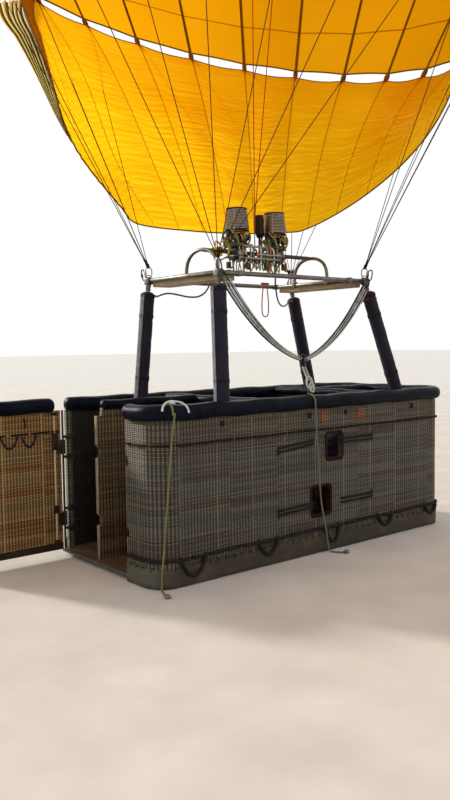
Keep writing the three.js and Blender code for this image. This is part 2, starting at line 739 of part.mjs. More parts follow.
// The pads on the inner walls are sewn together where they cross.
function makePartitionPads() {
  const clear = PAD.width / 2 - BASKET.wall / 2 + TOUCH;
  const inside = HALF_W - BASKET.wall - clear;
  const pads = [
    innerPad("y", PILOT.left, -inside, inside),
    innerPad("y", PILOT.right, -inside, inside),
  ];
  const left = innerPad("x", PARTITION_Y, LEFT_PARTITION_END + clear, PILOT.left);
  const right = innerPad("x", PARTITION_Y, PILOT.right, HALF_L - BASKET.wall - clear);
  const tools = [...pads, left, right].map((p) => p.groove);
  add("partition_pad_left", cut(join([pads[0].roll, left.roll]), tools), "pad");
  add("partition_pad_right", cut(join([pads[1].roll, right.roll]), tools), "pad");
}

// Gas cylinders in padded jackets: two along each long wall of the pilot's part.
function makeCylinders() {
  const { radius, height, x } = CYLINDER;
  const base = FLOOR.bottom + FLOOR.thick + TOUCH;
  const jacket = [
    [0, 0],
    [radius - 12, 0],
    [radius, 25],
    [radius, height - 210],
    [radius - 25, height - 170],
    [70, height - 150],
    [66, height - 95],
    [104, height - 90],
    [104, height - 20],
    [96, height - 14],
    [0, height - 14],
  ];
  const wallSide = { front: -(HALF_W - BASKET.wall - radius - 2), rear: HALF_W - BASKET.wall - radius - 2 };
  for (const [side, y] of Object.entries(wallSide))
    for (const [i, name] of ["left", "right"].entries()) {
      const body = new THREE.LatheGeometry(jacket.map(([r, h]) => new THREE.Vector2(r, h)), 24)
        .rotateX(Math.PI / 2)
        .translate(x[i], y, base);
      add(`gas_cylinder_${side}_${name}`, body, "sleeve");
    }
}

// Door, drawn closed and swung open about the hinge rod at the rear left corner.
function makeDoor() {
  const { wall } = BASKET;
  const [hingeEdge, freeEdge] = [AXIS.y - 24, STUB_END + DOOR_GAP];
  const [xOuter, xInner] = [-HALF_L, -HALF_L + wall];
  const bottom = FLOOR.bottom + FLOOR.thick + DOOR_GAP;
  const panel = block([xOuter, freeEdge, bottom], [xInner, hingeEdge, WALL_TOP]);
  const knuckles = HINGE_HEIGHTS.flatMap((z) => {
    const outline = [
      [HINGE.rod + 1, z - 55],
      [HINGE.rod + 7, z - 55],
      [HINGE.rod + 7, z + 55],
      [HINGE.rod + 1, z + 55],
      [HINGE.rod + 1, z - 55],
    ];
    const barrel = new THREE.LatheGeometry(outline.map(([r, h]) => new THREE.Vector2(r, h)), 16)
      .rotateX(Math.PI / 2)
      .translate(AXIS.x, AXIS.y, 0);
    const leaf = block([AXIS.x - 4, hingeEdge - 30, z - 50], [AXIS.x + 4, AXIS.y - HINGE.rod - 3, z + 50]);
    return [barrel, leaf];
  });
  add("door_panel", join([panel, ...knuckles]), "wicker", door);
  const line = (reach) => [
    [AXIS.x, AXIS.y - 68 + reach, -1, 0],
    [AXIS.x, freeEdge - reach, -1, 0],
  ];
  add("door_pad", padded(line(0), line(10)), "pad", door);
  door.position.set(AXIS.x, AXIS.y, 0);
  door.rotation.z = -THREE.MathUtils.degToRad(DOOR_OPEN_DEGREES);
  for (const mesh of door.children) mesh.position.set(-AXIS.x, -AXIS.y, 0);
  balloon.add(door);
}

// Hinge rod on two brackets at the end of the rear wall; the door's knuckles turn on it.
function makeHingeRod() {
  const rod = bar([point(AXIS.x, AXIS.y, FLOOR.bottom + FLOOR.thick + 4), point(AXIS.x, AXIS.y, WALL_TOP)], HINGE.rod, 12);
  const brackets = HINGE_HEIGHTS.flatMap((z) =>
    [z - 85, z + 65].map((low) =>
      block([AXIS.x, AXIS.y - 5, low], [REAR_END - TOUCH, AXIS.y + 5, low + 20]),
    ),
  );
  add("door_hinge_rod", join([rod, ...brackets]), "steel");
}

// Fuel hoses: each leaves the side of a rear sleeve, sags, and rises to a fitting under the burner block.
// The route after the sleeve is given as points in the order they are passed.
const HOSE_RADIUS = 6.5;
const HOSES = {
  left: { side: -1, fitting: [-285, 30], route: [[-739, 406, 1949], [-700, 375, 1966], [-665, 348, 1969],
    [-610, 304, 1956], [-556, 260, 1941], [-495, 212, 1942], [-455, 180, 1970], [-436, 160, 2008],
    [-421, 140, 2054], [-380, 100, 2105], [-320, 55, 2140]] },
  right: { side: 1, fitting: [165, 30], route: [[708, 410, 1950], [660, 376, 1946], [600, 338, 1926],
    [530, 292, 1902], [463, 246, 1890], [390, 196, 1888], [310, 140, 1900], [240, 90, 1932],
    [190, 52, 1985], [164, 34, 2040], [158, 28, 2100]] },
};

// A smooth line through points, as a list of evenly spread points.
const smooth = (points, steps) => new THREE.CatmullRomCurve3(points, false, "centripetal").getSpacedPoints(steps);

function makeHoses() {
  const blockBase = FRAME.height + HOOP.rise - 60;
  for (const [name, { side, fitting, route }] of Object.entries(HOSES)) {
    const [foot, top] = uprightEnds(side, 1);
    const axis = top.clone().sub(foot);
    const below = axis.clone().setLength(HOSE_BELOW_TOP);
    const leaves = foot.clone().addScaledVector(axis, UPRIGHT.sleeveEnds[1]).sub(below);
    const away = point(-side * 0.8, -0.6, 0);
    away.addScaledVector(axis, -away.dot(axis) / axis.lengthSq()).normalize();
    const exit = leaves.addScaledVector(away, UPRIGHT.sleeve + TOUCH);
    const [x, y] = fitting;
    const fittingBase = blockBase - FITTING.length;
    const end = [60, 30, 2 * TOUCH].map((drop) => point(x, y, fittingBase - drop));
    const straight = exit.clone().addScaledVector(away, 14);
    const line = [exit, straight, ...route.map((p) => point(...p)), ...end];
    add(`fuel_hose_${name}`, bar(smooth(line, 56), HOSE_RADIUS, 8), "rubber");
  }
}

// Two ropes that hang from the rim down the front to the ground, where their last part lies.
const ROPE_RADIUS = 7;
const ROPES = {
  left: [[-1379, -676.6, 1140], [-1391, -675, 1060], [-1404, -671, 960], [-1416, -662, 790], [-1426, -652, 622],
    [-1438, -640, 440], [-1449, -628, 256], [-1457, -620, 130], [-1462, -617, 50], [-1468, -625, 16],
    [-1480, -655, 7.4], [-1496, -700, 7.3], [-1520, -760, 7.3]],
  right: [[-119, -680.3, 1140], [-113, -680.3, 1030], [-106, -680, 900], [-93, -678, 760], [-81, -676, 631],
    [-57, -672, 415], [-20, -669, 250], [11, -667, 133], [24, -666, 50], [30, -674, 16], [42, -700, 7.4],
    [62, -740, 7.3], [95, -785, 7.3]],
};

function makeRopes() {
  for (const [name, points] of Object.entries(ROPES)) {
    const line = smooth(points.map((p) => point(...p)), 48);
    add(`hanging_rope_${name}`, bar(line, ROPE_RADIUS, 8), "rope");
  }
}

// Restraint line: two slack legs of webbing from the front frame corners to a ring, and a tail to the
// rim. Each leg hangs in a shallow parabola below the straight line between its ends.
const BRIDLE_SAG = 110;
const BRIDLE_STEPS = 12;

function makeBridle() {
  const knot = point(-128, -566, 1445);
  const rim = point(-119, -HALF_W + BASKET.wall / 2, BASKET.height + TOUCH + 10);
  const legs = [-1, 1].map((sx) => {
    const start = frameCorner(sx, -1, FRAME.height - 4).add(point(0, -BLOCK.half - 9 - TOUCH, 0));
    const line = Array.from({ length: BRIDLE_STEPS + 1 }, (_, i) => {
      const share = i / BRIDLE_STEPS;
      const drop = 4 * BRIDLE_SAG * share * (1 - share);
      return start.clone().lerp(knot, share).sub(point(0, 0, drop));
    });
    return bar(line, 9, 8);
  });
  const ring = bar(
    Array.from({ length: 12 }, (_, i) => {
      const a = (2 * Math.PI * i) / 12;
      return knot.clone().add(point(28 * Math.cos(a), 0, 28 * Math.sin(a)));
    }),
    7,
    6,
    true,
  );
  const tail = bar([knot.clone().add(point(0, 0, -24)), rim], 10, 8);
  add("restraint_bridle", join([...legs, ring, tail]), "webbing");
}

makeEnvelope();
makeCrown();
makeValve();
makeScoop();
makeWires();
makeFrame();
makeBurner();
makeUprights();
makeWalls();
makeRim();
makeBand();
makeFloor();
makePartitions();
makePartitionPads();
makeCylinders();
makeHingeRod();
makeDoor();
makeBridle();
makeHoses();
makeRopes();

const model = new THREE.Group();
model.add(balloon);
balloon.position.z = -LIFT_HEIGHT;
export default model;
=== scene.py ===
# %% [markdown]
# # A hot air balloon
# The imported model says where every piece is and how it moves. This lesson gives each piece its look.
# Soft and woven pieces are made again as fine surfaces in the same places, and every surface gets a
# material made of nodes. Lengths are metres and heights are above the ground under the basket: the
# function that makes an object lowers it, because the model's origin lies high up in the envelope.

import bpy
import numpy as np
from mathutils import Matrix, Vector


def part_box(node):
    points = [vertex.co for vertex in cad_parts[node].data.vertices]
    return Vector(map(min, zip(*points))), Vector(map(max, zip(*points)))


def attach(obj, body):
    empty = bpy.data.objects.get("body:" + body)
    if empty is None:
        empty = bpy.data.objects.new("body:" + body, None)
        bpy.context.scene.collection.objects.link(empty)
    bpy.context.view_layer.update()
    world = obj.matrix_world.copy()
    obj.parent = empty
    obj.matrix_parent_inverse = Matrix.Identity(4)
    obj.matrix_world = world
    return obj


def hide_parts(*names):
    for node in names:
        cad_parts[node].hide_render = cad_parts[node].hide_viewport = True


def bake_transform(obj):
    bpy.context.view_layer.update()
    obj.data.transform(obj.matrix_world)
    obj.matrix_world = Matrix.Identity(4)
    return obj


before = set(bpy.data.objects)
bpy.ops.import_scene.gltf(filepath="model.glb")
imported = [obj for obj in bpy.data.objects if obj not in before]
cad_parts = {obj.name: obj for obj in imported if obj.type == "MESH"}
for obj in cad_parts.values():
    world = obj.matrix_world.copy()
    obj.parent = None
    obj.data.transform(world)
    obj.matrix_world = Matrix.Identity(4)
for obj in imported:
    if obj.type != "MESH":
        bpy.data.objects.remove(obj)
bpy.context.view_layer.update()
GROUND = np.array([0, 0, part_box("basket_floor")[0][2]])

# %% [markdown]
# ## Driving dimensions
# These are the sizes that the model was drawn with. Everything else is worked out from them, so that a
# fine piece lies where its plain solid lies.

# %% Dimensions
GORES = 24
CONE_APEX, CONE_TOP, CONE_SLOPE = 1.0, 12.1, 0.6  # the lower envelope is a straight cone
VENT_RADIUS = 2.3
GORE_BULGE = 0.045  # share of a gore's width
MOUTH_HEIGHT, MOUTH_RISE_X, MOUTH_RISE_Y, MOUTH_SCALLOP = 4.15, -0.088, 0.22, 0.06
FRAME_X, FRAME_Y, FRAME_HALF_L, FRAME_HALF_W, FRAME_Z = -0.025, 0.02, 0.77, 0.428, 2.068
FRAME_TUBE, HOOP_TUBE, CROSS_INSET, HOOP_RISE, HOOP_HALF = 0.017, 0.0135, 0.19, 0.21, 0.19
BURNER_X, BURNER_SPREAD, CAN_BASE, CAN_HEIGHT, CAN_BOTTOM, CAN_TOP = -0.055, 0.2, 2.44, 0.175, 0.096, 0.078
HALF_L, HALF_W, RIM_TOP, WALL, CORNER = 1.5, 0.63, 1.19, 0.032, 0.15
WALL_LOW, WALL_TOP, STUB_END, REAR_END = 0.06, 1.096, -0.28, -1.46
PAD_WIDTH, PAD_HEIGHT = 0.118, 0.108
HINGE_X, HINGE_Y = -HALF_L + WALL / 2, HALF_W - WALL / 2
SIGNS = {"rear_right": (1, 1), "rear_left": (-1, 1), "front_left": (-1, -1), "front_right": (1, -1)}

# %% [markdown]
# ## The camera
# The picture was taken at eye level, close to the basket's corner beside the door. The camera's place
# and direction were worked out from the basket's edges: a yaw from +X towards +Y, a pitch and a roll.
# The focal length in pixels becomes a lens for a tall picture, 800 pixels high, on a 36 mm sensor.

# %% Camera
EYE = GROUND + [-4.2846, -4.7018, 1.556]
YAW, PITCH, ROLL = np.radians([50.5252, -3.9077, -0.7847])
FOCAL_PIXELS, PICTURE_HEIGHT = 791.127, 800


def make_camera():
    """Forward comes from yaw and pitch; level right and its partner are then rolled about forward."""
    forward = np.array([np.cos(PITCH) * np.cos(YAW), np.cos(PITCH) * np.sin(YAW), np.sin(PITCH)])
    level = np.array([np.sin(YAW), -np.cos(YAW), 0.0])
    right = np.cos(ROLL) * level + np.sin(ROLL) * np.cross(level, forward)
    data = bpy.data.cameras.new("photo_camera")
    data.sensor_fit = "VERTICAL"
    data.sensor_height = 36.0
    data.lens = FOCAL_PIXELS * data.sensor_height / PICTURE_HEIGHT
    data.clip_end = 500
    camera = bpy.data.objects.new("photo_camera", data)
    bpy.context.scene.collection.objects.link(camera)
    matrix = np.eye(4)
    matrix[:3, :3] = np.stack([right, np.cross(right, forward), -forward], axis=1)
    matrix[:3, 3] = EYE
    camera.matrix_world = Matrix(matrix.tolist())
    bpy.context.scene.camera = camera
    print("camera with a lens of", round(data.lens, 2), "mm looks along", np.round(forward, 3))


make_camera()

# %% [markdown]
# ## Surfaces from arrays
# A part here is three arrays: points, quads that join them, and a map coordinate for each corner of each
# quad. A `grid` joins a table of points, and everything else is a grid: a section carried along a line
# makes bars, ropes and straps, a lathe turns a profile, and a rounded block stacks rounded rectangles.


# %% Grids
def grid(points, wrap_u=False, wrap_v=False, capped=False, uv=None):
    """Quads between the neighbours of points[j, i]; a face looks along (step in i) x (step in j).
    uv[j, i] is the map coordinate, one column or row longer where the surface closes on itself.
    Capped ends are strips of quads across the first and the last ring."""
    rows, columns = points.shape[:2]
    spans_v, spans_u = rows - (not wrap_v), columns - (not wrap_u)
    j, i = (a.ravel() for a in np.indices((spans_v, spans_u)))
    below, beside = (j + 1) % rows, (i + 1) % columns
    corners = [j * columns + i, j * columns + beside, below * columns + beside, below * columns + i]
    quads = np.stack(corners, axis=1)
    if uv is None:
        v, u = np.indices((spans_v + 1, spans_u + 1))
        uv = np.stack([u / spans_u, v / spans_v], axis=-1)
    maps = np.stack([uv[j, i], uv[j, i + 1], uv[j + 1, i + 1], uv[j + 1, i]], axis=1)
    if capped:
        k = np.arange(columns // 2 - 1)
        cap = np.stack([k, k + 1, columns - 2 - k, columns - 1 - k], axis=1)
        quads = np.vstack([quads, cap[:, ::-1], cap + (rows - 1) * columns])
        maps = np.vstack([maps, uv[0][cap[:, ::-1]], uv[-1][cap]])
    return points.reshape(-1, 3), quads, maps


def joined(*parts):
    """Several parts as one: each part's point numbers move up by the points before it."""
    starts = np.cumsum([0] + [len(points) for points, _, _ in parts[:-1]])
    points = np.vstack([p[0] for p in parts])
    quads = np.vstack([p[1] + start for p, start in zip(parts, starts)])
    return points, quads, np.vstack([p[2] for p in parts])


def unit(vectors):
    """Each vector divided by its length."""
    vectors = np.asarray(vectors, float)
    return vectors / np.linalg.norm(vectors, axis=-1, keepdims=True)


def along(path, closed=False):
    """Distance from the start to each point of a path, and back to the start when closed."""
    path = np.vstack([path, path[:1]]) if closed else np.asarray(path)
    return np.concatenate([[0], np.cumsum(np.linalg.norm(np.diff(path, axis=0), axis=1))])


# %% A section carried along a line
def carry(path, across, section, closed=False):
    """Points path + a * first + b * second for each (a, b) of the section, taken counter-clockwise.
    first is `across` made square to the path, and second is square to both. The map gives the share
    round the section and the metres along the path."""
    path, section = np.asarray(path, float), np.asarray(section, float)
    ahead = unit(np.roll(path, -1, 0) - np.roll(path, 1, 0) if closed else np.gradient(path, axis=0))
    across = np.broadcast_to(across, path.shape)
    first = unit(across - (across * ahead).sum(1, keepdims=True) * ahead)
    second = np.cross(ahead, first)
    section = np.broadcast_to(section, (len(path),) + section.shape[-2:])
    points = path[:, None] + section[..., :1] * first[:, None] + section[..., 1:] * second[:, None]
    share = np.linspace(0, 1, section.shape[1] + 1)
    uv = np.stack(np.broadcast_arrays(share, along(path, closed)[:, None]), axis=-1)
    return grid(points, wrap_u=True, wrap_v=closed, capped=not closed, uv=uv)


def circle(sides):
    """Cosine and sine of even angles once round."""
    angle = 2 * np.pi * np.arange(sides) / sides
    return np.stack([np.cos(angle), np.sin(angle)], axis=1)


def ring(centre, radius, count, first=(1, 0, 0), second=(0, 1, 0)):
    """centre + radius * (cos a * first + sin a * second) at even angles a."""
    return np.asarray(centre) + radius * (circle(count) @ np.array([first, second], float))


def polar(radius, angle, height):
    """Points at a distance and a direction from the upright axis."""
    return np.stack(np.broadcast_arrays(radius * np.cos(angle), radius * np.sin(angle), height), axis=-1)


def tube(path, radius, sides=12, reference=(0, 0, 1), closed=False, ripple=None):
    """A round bar. radius is one number or one for each point, and ripple(angle, distance) multiplies
    it, for the strands of a rope or the creases of a sleeve. reference may not lie along the path."""
    path = np.asarray(path, float)
    size = np.broadcast_to(np.asarray(radius, float), (len(path),))[:, None, None]
    if ripple is not None:
        angle = 2 * np.pi * np.arange(sides) / sides
        size = size * ripple(angle, along(path)[:, None])[..., None]
    return carry(path, reference, size * circle(sides), closed)


def line_reference(start, end):
    """A direction that is safely square to a straight line."""
    ahead = unit(np.subtract(end, start))
    return (1, 0, 0) if abs(ahead[0]) < 0.7 else (0, 1, 0)


def bar(start, end, radius, sides=12):
    """A straight round bar with softened ends."""
    start, end = np.asarray(start, float), np.asarray(end, float)
    length = np.linalg.norm(end - start)
    soft = min(0.3 * radius, 0.2 * length) / length
    share = np.array([0, soft, 1 - soft, 1])[:, None]
    path = start + share * (end - start)
    return tube(path, np.array([0.75, 1, 1, 0.75]) * radius, sides, line_reference(start, end))


def strap(path, across, width, thickness, closed=False):
    """A flat band whose width lies along `across`; its section is a rectangle with cut corners."""
    section = [(1, -0.4), (1, 0.4), (0.9, 1), (-0.9, 1), (-1, 0.4), (-1, -0.4), (-0.9, -1), (0.9, -1)]
    return carry(path, across, np.array(section) * [width / 2, thickness / 2], closed)


def rope(path, radius, reference=(1, 0, 0), strands=3, lay=0.045):
    """A laid rope: the radius swells over each strand, and the strands turn once in each `lay`."""
    twist = lambda angle, distance: 1 + 0.13 * np.cos(strands * (angle - 2 * np.pi * distance / lay))
    return tube(path, radius / 1.13, 12, reference, ripple=twist)


# %% Lathes, blocks and smooth lines
def lathe(profile, centre, axis=(0, 0, 1), sides=32, closed=False):
    """A profile of (radius, height) turned about an axis; it runs up the outside."""
    profile = np.asarray(profile, float)
    axis = unit(axis)
    first = unit(np.cross(axis, (0, 1, 0) if abs(axis[1]) < 0.9 else (1, 0, 0)))
    spokes = circle(sides) @ np.stack([first, np.cross(axis, first)])
    points = np.asarray(centre) + profile[:, None, :1] * spokes + profile[:, None, 1:] * axis
    return grid(points, wrap_u=True, wrap_v=closed, capped=not closed)


def rounded_block(low, high, radius):
    """A box with round upright edges, whose top and bottom edges are rounded by three rings each."""
    low, high = np.asarray(low, float), np.asarray(high, float)
    centre, half = (low + high) / 2, (high - low) / 2
    angle = np.linspace(0, np.pi / 2, 4)
    angles = np.concatenate([angle + quarter * np.pi / 2 for quarter in range(4)])
    signs = np.repeat([[1, 1], [-1, 1], [-1, -1], [1, -1]], 4, axis=0)
    rise = np.array([0, 0.3, 1])
    inset = radius * (1 - np.sqrt(1 - (1 - rise) ** 2))
    heights = np.concatenate([low[2] + radius * rise, high[2] - radius * rise[::-1]])
    insets = np.concatenate([inset, inset[::-1]])[:, None, None]
    outward = np.stack([np.cos(angles), np.sin(angles)], axis=1)
    flat = centre[:2] + signs * (half[:2] - radius) + (radius - insets) * outward
    tall = np.broadcast_to(heights[:, None, None], flat.shape[:2] + (1,))
    return grid(np.concatenate([flat, tall], axis=-1), wrap_u=True, capped=True)


def block_at(x, y, z, half_x, half_y, half_z, radius=0.004):
    """The same box, given by its middle and half its sizes."""
    middle, half = np.array([x, y, z]), np.array([half_x, half_y, half_z])
    return rounded_block(middle - half, middle + half, radius)


def smooth_line(points, count):
    """The centripetal Catmull-Rom curve through given points: each stretch is a cubic whose end
    slopes follow the neighbours, weighted by the roots of their distances. Resampled to even steps."""
    points = np.asarray(points, float)
    padded = np.vstack([2 * points[0] - points[1], points, 2 * points[-1] - points[-2]])
    a, b, c, d = (padded[k : k + len(points) - 1] for k in range(4))
    ab, bc, cd = (np.linalg.norm(q - p, axis=1, keepdims=True) ** 0.5 for p, q in ((a, b), (b, c), (c, d)))
    leave = ((b - a) / ab - (c - a) / (ab + bc) + (c - b) / bc) * bc
    reach = ((c - b) / bc - (d - b) / (bc + cd) + (d - c) / cd) * bc
    t = np.linspace(0, 1, 40)[None, :, None]
    b, c, leave, reach = (p[:, None] for p in (b, c, leave, reach))
    fine = b + leave * t + (3 * (c - b) - 2 * leave - reach) * t**2 + (2 * (b - c) + leave + reach) * t**3
    fine = fine.reshape(-1, 3)
    distance = along(fine)
    even = np.linspace(0, distance[-1], count)
    return np.stack([np.interp(even, distance, fine[:, axis]) for axis in range(3)], axis=1)


def wobble(a, b, size, seed=0):
    """Smooth unevenness between about -1 and 1: six sine waves of chance direction and phase, whose
    length is near `size`."""
    chance = np.random.default_rng(seed)
    waves = chance.normal(0, 2 * np.pi / size, (6, 2))
    phases = chance.uniform(0, 2 * np.pi, 6)
    return sum(np.sin(a * p + b * q + phase) for (p, q), phase in zip(waves, phases)) / 3


# %% A part becomes a piece
SHARP = np.radians(50)  # faces that meet at more than this are shaded with a hard edge between them


def piece(name, part, finish, body="balloon", replaces=(), flat=False, bevel=0.0):
    """The part, or a list of parts joined, as an object at the origin, lowered to the model's ground,
    with its material, its body and the nodes that it stands for."""
    points, quads, maps = joined(*part) if isinstance(part, list) else part
    mesh = bpy.data.meshes.new(name)
    mesh.vertices.add(len(points))
    mesh.vertices.foreach_set("co", (points + GROUND).astype(np.float32).ravel())
    mesh.loops.add(quads.size)
    mesh.loops.foreach_set("vertex_index", quads.astype(np.int32).ravel())
    mesh.polygons.add(len(quads))
    mesh.polygons.foreach_set("loop_start", np.arange(0, quads.size, 4, dtype=np.int32))
    mesh.polygons.foreach_set("use_smooth", np.full(len(quads), not flat))
    layer = mesh.uv_layers.new(name="UVMap")
    layer.data.foreach_set("uv", maps.astype(np.float32).ravel())
    mesh.update(calc_edges=True)
    mesh.set_sharp_from_angle(angle=SHARP)
    obj = bpy.data.objects.new(name, mesh)
    bpy.context.scene.collection.objects.link(obj)
    mesh.materials.append(finish.material)
    if bevel:
        rounding = obj.modifiers.new("rounded edges", "BEVEL")
        rounding.width = bevel
        rounding.segments = 2
    if body:
        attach(obj, body)
    if replaces:
        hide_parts(*replaces)
    return obj


def area_of(part):
    """Sum of the areas of the quads, each half the size of its diagonals' cross product."""
    p = part[0][part[1]]
    return 0.5 * np.linalg.norm(np.cross(p[:, 2] - p[:, 0], p[:, 3] - p[:, 1]), axis=1).sum()


print("surface tools ready")

# %% [markdown]
# ## Shader maths in plain expressions
# A material is a little tree of nodes. `Value` wraps a socket so that arithmetic written in Python adds
# the Math nodes, and `Finish` holds one material: its `node` method adds any other node, sets its
# settings first and then its sockets. Patterns read object coordinates, in metres, or a piece's own map.


# %% Values
class Value:
    """A number that changes over a surface. Arithmetic on it adds Math nodes."""

    def __init__(self, finish, socket):
        self.finish, self.socket = finish, socket

    def of(self, operation, *others):
        return self.finish.math(operation, self, *others)

    def __add__(self, other):
        return self.of("ADD", other)

    def __sub__(self, other):
        return self.of("SUBTRACT", other)

    def __rsub__(self, other):
        return self.finish.math("SUBTRACT", other, self)

    def __mul__(self, other):
        return self.of("MULTIPLY", other)

    def __abs__(self):
        return self.of("ABSOLUTE")

    __radd__, __rmul__ = __add__, __mul__

    def smooth(self, low, high):
        """0 below low, 1 above high, and a smooth step between."""
        sockets = {"Value": self, "From Min": low, "From Max": high}
        node = self.finish.node("ShaderNodeMapRange", {"interpolation_type": "SMOOTHSTEP"}, sockets)
        return Value(self.finish, node.outputs["Result"])


# %% Finishes
SOCKETS = {"color": "Base Color", "specular": "Specular IOR Level", "sheen": "Sheen Weight"}


class Finish:
    """One material, named after its slot in the record, with a Principled shader."""

    def __init__(self, slot, name=None, **constants):
        self.slot = slot
        self.material = bpy.data.materials.new(name or slot)
        self.material.use_nodes = True
        self.tree = self.material.node_tree
        self.tree.nodes.clear()
        self.shader = self.tree.nodes.new("ShaderNodeBsdfPrincipled")
        self.output = self.tree.nodes.new("ShaderNodeOutputMaterial")
        self.tree.links.new(self.shader.outputs[0], self.output.inputs["Surface"])
        self.set(**constants)

    def plug(self, socket, thing):
        thing = thing.socket if isinstance(thing, Value) else thing
        if isinstance(thing, bpy.types.NodeSocket):
            self.tree.links.new(thing, socket)
        else:
            socket.default_value = thing

    def set(self, **inputs):
        """Plugs numbers or values into the shader's sockets, by their short names or their own."""
        for name, thing in inputs.items():
            self.plug(self.shader.inputs[SOCKETS.get(name, name.title())], thing)

    def node(self, kind, settings=None, inputs=None):
        node = self.tree.nodes.new(kind)
        for name, setting in (settings or {}).items():
            if name == "stops":
                self.put_stops(node.color_ramp, setting)
            else:
                setattr(node, name, setting)
        for name, thing in (inputs or {}).items():
            self.plug(node.inputs[name], thing)
        return node

    @staticmethod
    def put_stops(ramp, stops):
        while len(ramp.elements) < len(stops):
            ramp.elements.new(0.5)
        for element, (position, color) in zip(ramp.elements, stops):
            element.position = position
            element.color = (*color, 1)

    def math(self, operation, *numbers):
        node = self.node("ShaderNodeMath", {"operation": operation}, dict(enumerate(numbers)))
        return Value(self, node.outputs[0])

    def place(self, source="Object", scale=(1, 1, 1)):
        coordinates = self.node("ShaderNodeTexCoord").outputs[source]
        return self.node("ShaderNodeMapping", None, {"Vector": coordinates, "Scale": scale}).outputs[0]

    def split(self, source="UV"):
        """The coordinates as three values."""
        node = self.node("ShaderNodeSeparateXYZ", None, {0: self.place(source)})
        return [Value(self, output) for output in node.outputs]

    def noise(self, size, detail=3.0, source="Object", scale=(1, 1, 1), twist=0.0):
        """Cloudy noise whose blobs are about `size` metres wide, between 0 and 1."""
        sockets = {"Vector": self.place(source, scale), "Scale": 1 / size, "Detail": detail}
        sockets["Distortion"] = twist
        return Value(self, self.node("ShaderNodeTexNoise", None, sockets).outputs[0])

    def cells(self, size, feature="F1"):
        """Distance to the nearest of a scatter of points, in cell sizes."""
        sockets = {"Vector": self.place(), "Scale": 1 / size}
        node = self.node("ShaderNodeTexVoronoi", {"feature": feature}, sockets)
        return Value(self, node.outputs["Distance"])

    def scatter(self, first, second=0.0):
        """A random number for each pair of whole numbers."""
        vector = self.node("ShaderNodeCombineXYZ", None, {0: first, 1: second}).outputs[0]
        node = self.node("ShaderNodeTexWhiteNoise", {"noise_dimensions": "2D"}, {"Vector": vector})
        return Value(self, node.outputs["Value"])

    def mix(self, factor, first, second):
        """Colours mixed by a value: first where it is 0."""
        first, second = ((*c, 1) if isinstance(c, tuple) else c for c in (first, second))
        settings = {"data_type": "RGBA", "clamp_factor": True}
        return self.node("ShaderNodeMix", settings, {0: factor, 6: first, 7: second}).outputs[2]

    def ramp(self, value, *stops):
        return self.node("ShaderNodeValToRGB", {"stops": stops}, {"Fac": value}).outputs["Color"]

    def bump(self, height, depth):
        """Relief: height 1 stands `depth` metres proud."""
        sockets = {"Height": height, "Distance": depth, "Strength": 1.0}
        self.set(normal=self.node("ShaderNodeBump", None, sockets).outputs[0])

    def let_light_through(self, color, share):
        """Thin cloth: part of the light that falls on one side leaves on the other."""
        through = self.node("ShaderNodeBsdfTranslucent", None, {"Color": color})
        sockets = {0: share, 1: self.shader.outputs[0], 2: through.outputs[0]}
        mixed = self.node("ShaderNodeMixShader", None, sockets)
        self.tree.links.new(mixed.outputs[0], self.output.inputs["Surface"])


print("material tools ready")

# %% [markdown]
# ## Cords come first
# Two fuel hoses run from the rear sleeves to the burner, and two ropes hang from the rim to the ground.
# Their routes are the model's own, given as the points they pass. A hose is smooth rubber. A rope is laid
# from three strands, and its free end is stopped with an overhand knot.

# %% Cord finishes
def hose_rubber():
    f = Finish("hose_rubber")
    dust = f.noise(0.03, 4)
    color = f.ramp(dust, (0.3, (0.007, 0.007, 0.008)), (0.8, (0.022, 0.021, 0.02)))
    f.set(color=color, roughness=dust * 0.3 + 0.3)
    _, length, _ = f.split()
    f.bump((length * 2000).of("SINE") * 0.5 + f.noise(0.006, 2), 0.0003)
    return f


def laid_fibres(slot, dark, light, name=None):
    f = Finish(slot, name, specular=0.25)
    across, length, _ = f.split()
    yarn = (across * 19 + length * -420).of("SINE")
    fuzz = f.noise(0.004, 3)
    tone = yarn * 0.18 + fuzz * 0.5 + f.noise(0.12, 3) * 0.4
    f.set(color=f.ramp(tone, (0.2, dark), (0.8, light)), roughness=fuzz * 0.2 + 0.75)
    f.bump(yarn * 0.5 + fuzz, 0.0008)
    return f


def brass():
    f = Finish("brass", metallic=1.0)
    tarnish = f.noise(0.02, 4)
    color = f.ramp(tarnish, (0.3, (0.62, 0.37, 0.1)), (0.8, (0.3, 0.17, 0.05)))
    f.set(color=color, roughness=tarnish * 0.4 + 0.15)
    f.bump(f.noise(0.003, 2), 0.0002)
    return f


RUBBER = hose_rubber()
KHAKI = laid_fibres("rope_cream", (0.09, 0.08, 0.035), (0.26, 0.235, 0.12))
WHITE_ROPE = laid_fibres("rope_cream", (0.34, 0.36, 0.38), (0.72, 0.75, 0.78), name="rope_white")
GREY_ROPE = laid_fibres("rope_cream", (0.06, 0.06, 0.04), (0.24, 0.24, 0.18), name="rope_grey")
DARK_ROPE = laid_fibres("rope_dark", (0.003, 0.0025, 0.0025), (0.02, 0.014, 0.012))
BRASS = brass()
print("cord finishes ready")

